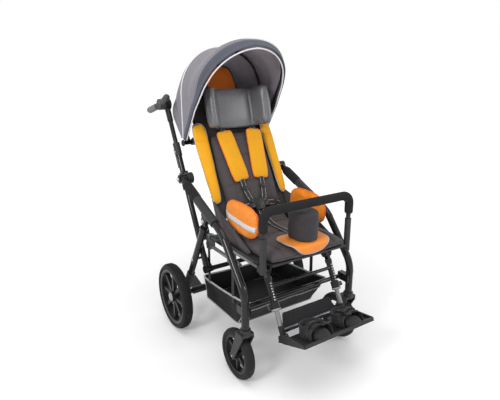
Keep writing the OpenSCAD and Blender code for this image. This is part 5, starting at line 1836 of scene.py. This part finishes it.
def build_room(light):
    """An even white room that looks brighter, to the camera and in reflections, than the light it gives."""
    world = bpy.data.worlds.new("pale_room")
    bpy.context.scene.world = world
    world.use_nodes = True
    room = Graph(world.node_tree)
    back = next(x for x in room.nodes if x.type == "BACKGROUND").inputs
    back["Color"].default_value = WHITE
    ray = room.node("ShaderNodeLightPath").outputs
    seen = room.math("MAXIMUM", ray["Is Camera Ray"], ray["Is Glossy Ray"])
    seen = room.math("MAXIMUM", seen, ray["Is Transmission Ray"])
    lit = room.node("ShaderNodeMix", {"Factor": seen, "A": light, "B": 1.0}, data_type="FLOAT")
    room.feed(back["Strength"], lit.outputs["Result"])


def build_stage():
    stage = bpy.context.scene.buggy_stage
    bpy.context.scene.view_settings.view_transform = "Standard"
    build_camera(stage.lens)
    build_floor(stage)
    build_room(stage.room_light)
    for name, at, aim, size, power in (
            ("top_softbox", (-0.5, -0.7, 3.4), (0, 0, 0.5), 2.2, stage.top_light),
            ("left_softbox", (-2.8, -1.2, 2.2), (0, 0, 0.7), 0.9, stage.side_light),
            ("right_softbox", (2.4, -2.2, 1.9), (0, 0, 0.6), 0.9, stage.fill_light)):
        lamp = bpy.data.lights.new(name, "AREA")
        lamp.shape = "DISK"
        lamp.size = size
        lamp.energy = power
        o = linked(name, lamp)
        o.location = at
        o.rotation_euler = (Vector(at) - Vector(aim)).to_track_quat("Z", "Y").to_euler()


# Properties, operators and panel

def colour(label, text, value):
    return bpy.props.FloatVectorProperty(name=label, description=text, default=value, size=3, min=0.0, max=1.0,
                                         subtype="COLOR")


def length(label, text, value, low, high):
    return bpy.props.FloatProperty(name=label, description=text, default=value, min=low, max=high, unit="LENGTH")


def amount(label, text, value, low, high):
    return bpy.props.FloatProperty(name=label, description=text, default=value, min=low, max=high)


class BuggyColours(bpy.types.PropertyGroup):
    """Base colours of the finishes, in linear light."""
    tube: colour("Tubes", "Gloss paint of the frame tubes", (0.012, 0.012, 0.013))
    moulding: colour("Mouldings", "Moulded knuckles, sleeves and sockets", (0.026, 0.026, 0.028))
    plate: colour("Plates", "Seat board and footplate", (0.022, 0.022, 0.023))
    inner_tube: colour("Inner tubes", "Bare telescopic tubes", (0.25, 0.255, 0.265))
    handle: colour("Handles", "Push handles", (0.055, 0.055, 0.058))
    seat: colour("Seat cloth", "Charcoal cloth of seat and back", (0.074, 0.064, 0.066))
    block: colour("Block cloth", "Cloth of the abduction block", (0.037, 0.034, 0.037))
    satin: colour("Satin", "Orange satin of the hip pads and flap", (0.91, 0.262, 0.01))
    head: colour("Head panel", "Orange pillow behind the headrest", (0.85, 0.20, 0.015))
    pad: colour("Yellow pads", "Side and shoulder pads", (0.82, 0.375, 0.006))
    hood: colour("Hood cloth", "Grey cloth of the hood", (0.225, 0.212, 0.240))
    hood_band: colour("Hood band", "Slate cloth along the hood's front edge", (0.082, 0.089, 0.116))
    # Painted light: the hood cloth's inner face, lighter than the cloth itself to lift the shade inside the hood.
    hood_lining: colour("Hood lining", "Inner face of the hood cloth", (0.36, 0.335, 0.375))
    headrest: colour("Headrest skin", "Grey skin of the headrest", (0.112, 0.111, 0.121))
    basket: colour("Basket cloth", "Black cloth of the basket", (0.009, 0.009, 0.010))
    foam: colour("Foam", "Foam of the bumper and the armrests", (0.019, 0.018, 0.019))
    tyre: colour("Tyres", "Rubber of the tyres", (0.017, 0.017, 0.017))
    rim: colour("Rim trim", "Pale rings and caps of the wheels", (0.30, 0.30, 0.31))


class BuggySizes(bpy.types.PropertyGroup):
    """Sizes of the modelled detail."""
    puff: length("Puff", "Most that a pad's cover swells", 0.007, 0.005, 0.016)
    stitch_pitch: length("Stitch pitch", "Distance from stitch to stitch", 0.0042, 0.002, 0.01)
    tread_depth: length("Tread depth", "Height of the tread lugs", 0.0024, 0.001, 0.004)
    tread_count: bpy.props.IntProperty(name="Tread count", description="Lugs in one row round a rear tyre", default=64,
                                       min=24, max=120)
    rib_pitch: length("Rib pitch", "Distance between the ribs of a grip", 0.0062, 0.003, 0.012)


class BuggyStage(bpy.types.PropertyGroup):
    """Camera, floor and light."""
    lens: amount("Lens", "Focal length on a 36 mm sensor", 32.1, 15.0, 120.0)
    floor_size: length("Floor", "Half width of the floor", 45.0, 2.0, 90.0)
    room_light: amount("Room light", "Strength of the even light of the room", 0.70, 0.0, 2.0)
    floor_glow: amount("Floor glow", "Lift of the floor toward white", 0.08, 0.0, 1.0)
    far_glow: amount("Far glow", "Lift of the far floor toward white", 0.38, 0.0, 1.0)
    top_light: amount("Top light", "Power of the soft light above in watts", 26.0, 0.0, 300.0)
    side_light: amount("Left light", "Power of the soft light at the left in watts", 40.0, 0.0, 300.0)
    fill_light: amount("Right light", "Power of the soft light at the right in watts", 20.0, 0.0, 300.0)


class BUGGY_OT_frame(bpy.types.Operator):
    """Paint, mouldings and bare tubes of the frame"""
    bl_idname = "buggy.frame"
    bl_label = "Frame finishes"

    def execute(self, context):
        build_frame()
        return {"FINISHED"}


class BUGGY_OT_wheels(bpy.types.Operator):
    """Treaded rear tyres, caster tyres, rim rings and hub caps"""
    bl_idname = "buggy.wheels"
    bl_label = "Wheels"

    def execute(self, context):
        build_wheels()
        return {"FINISHED"}


class BUGGY_OT_hardware(bpy.types.Operator):
    """Screws on the pivots and brackets"""
    bl_idname = "buggy.hardware"
    bl_label = "Hardware"

    def execute(self, context):
        build_hardware()
        return {"FINISHED"}


class BUGGY_OT_handles(bpy.types.Operator):
    """Ribs of the push handles"""
    bl_idname = "buggy.handles"
    bl_label = "Handles"

    def execute(self, context):
        build_handles()
        return {"FINISHED"}


class BUGGY_OT_seat(bpy.types.Operator):
    """Seat cushion, front flap, side panels and apron"""
    bl_idname = "buggy.seat"
    bl_label = "Seat"

    def execute(self, context):
        build_seat()
        return {"FINISHED"}


class BUGGY_OT_hips(bpy.types.Operator):
    """Hip pads with their bands"""
    bl_idname = "buggy.hips"
    bl_label = "Hip pads"

    def execute(self, context):
        build_hips()
        return {"FINISHED"}


class BUGGY_OT_block(bpy.types.Operator):
    """Abduction block"""
    bl_idname = "buggy.block"
    bl_label = "Abduction block"

    def execute(self, context):
        build_block()
        return {"FINISHED"}


class BUGGY_OT_back(bpy.types.Operator):
    """Back cushion, side pads and head panel"""
    bl_idname = "buggy.back"
    bl_label = "Back"

    def execute(self, context):
        build_back()
        return {"FINISHED"}


class BUGGY_OT_headrest(bpy.types.Operator):
    """Winged headrest"""
    bl_idname = "buggy.headrest"
    bl_label = "Headrest"

    def execute(self, context):
        build_headrest()
        return {"FINISHED"}


class BUGGY_OT_harness(bpy.types.Operator):
    """Shoulder pads, webs and buckle"""
    bl_idname = "buggy.harness"
    bl_label = "Harness"

    def execute(self, context):
        build_harness()
        return {"FINISHED"}


class BUGGY_OT_hood(bpy.types.Operator):
    """Hood cloth, brim and piping"""
    bl_idname = "buggy.hood"
    bl_label = "Hood"

    def execute(self, context):
        build_hood()
        return {"FINISHED"}


class BUGGY_OT_bumper(bpy.types.Operator):
    """Foam of the bumper bar and the armrests"""
    bl_idname = "buggy.bumper"
    bl_label = "Foam"

    def execute(self, context):
        build_bumper()
        return {"FINISHED"}


class BUGGY_OT_feet(bpy.types.Operator):
    """Ankle cuffs, straps, clips and heel band"""
    bl_idname = "buggy.feet"
    bl_label = "Feet"

    def execute(self, context):
        build_feet()
        return {"FINISHED"}


class BUGGY_OT_basket(bpy.types.Operator):
    """Basket, its piping and its ties"""
    bl_idname = "buggy.basket"
    bl_label = "Basket"

    def execute(self, context):
        build_basket()
        return {"FINISHED"}


class BUGGY_OT_stage(bpy.types.Operator):
    """Camera, floor and light"""
    bl_idname = "buggy.stage"
    bl_label = "Stage"

    def execute(self, context):
        build_stage()
        return {"FINISHED"}


STEPS = (BUGGY_OT_frame, BUGGY_OT_wheels, BUGGY_OT_hardware, BUGGY_OT_handles, BUGGY_OT_seat, BUGGY_OT_hips,
         BUGGY_OT_block, BUGGY_OT_back, BUGGY_OT_headrest, BUGGY_OT_harness, BUGGY_OT_hood, BUGGY_OT_bumper,
         BUGGY_OT_feet, BUGGY_OT_basket, BUGGY_OT_stage)


class BUGGY_PT_parts(bpy.types.Panel):
    """Lists the sizes, the colours and the building steps"""
    bl_idname = "BUGGY_PT_parts"
    bl_label = "Special needs buggy"
    bl_space_type = "VIEW_3D"
    bl_region_type = "UI"
    bl_category = "Buggy"

    def draw(self, context):
        layout = self.layout
        for step in STEPS:
            layout.operator(step.bl_idname)
        for group in (context.scene.buggy_sizes, context.scene.buggy_stage, context.scene.buggy_colours):
            box = layout.box()
            for key in group.__annotations__:
                box.prop(group, key)


CLASSES = (BuggyColours, BuggySizes, BuggyStage) + STEPS + (BUGGY_PT_parts,)


def register():
    for c in CLASSES:
        bpy.utils.register_class(c)
    bpy.types.Scene.buggy_colours = bpy.props.PointerProperty(type=BuggyColours)
    bpy.types.Scene.buggy_sizes = bpy.props.PointerProperty(type=BuggySizes)
    bpy.types.Scene.buggy_stage = bpy.props.PointerProperty(type=BuggyStage)


def unregister():
    del bpy.types.Scene.buggy_stage
    del bpy.types.Scene.buggy_sizes
    del bpy.types.Scene.buggy_colours
    for c in reversed(CLASSES):
        bpy.utils.unregister_class(c)


def main():
    register()
    bpy.ops.buggy.frame()
    bpy.ops.buggy.wheels()
    bpy.ops.buggy.hardware()
    bpy.ops.buggy.handles()
    bpy.ops.buggy.seat()
    bpy.ops.buggy.hips()
    bpy.ops.buggy.block()
    bpy.ops.buggy.back()
    bpy.ops.buggy.headrest()
    bpy.ops.buggy.harness()
    bpy.ops.buggy.hood()
    bpy.ops.buggy.bumper()
    bpy.ops.buggy.feet()
    bpy.ops.buggy.basket()
    bpy.ops.buggy.stage()


if __name__ == "__main__":
    main()
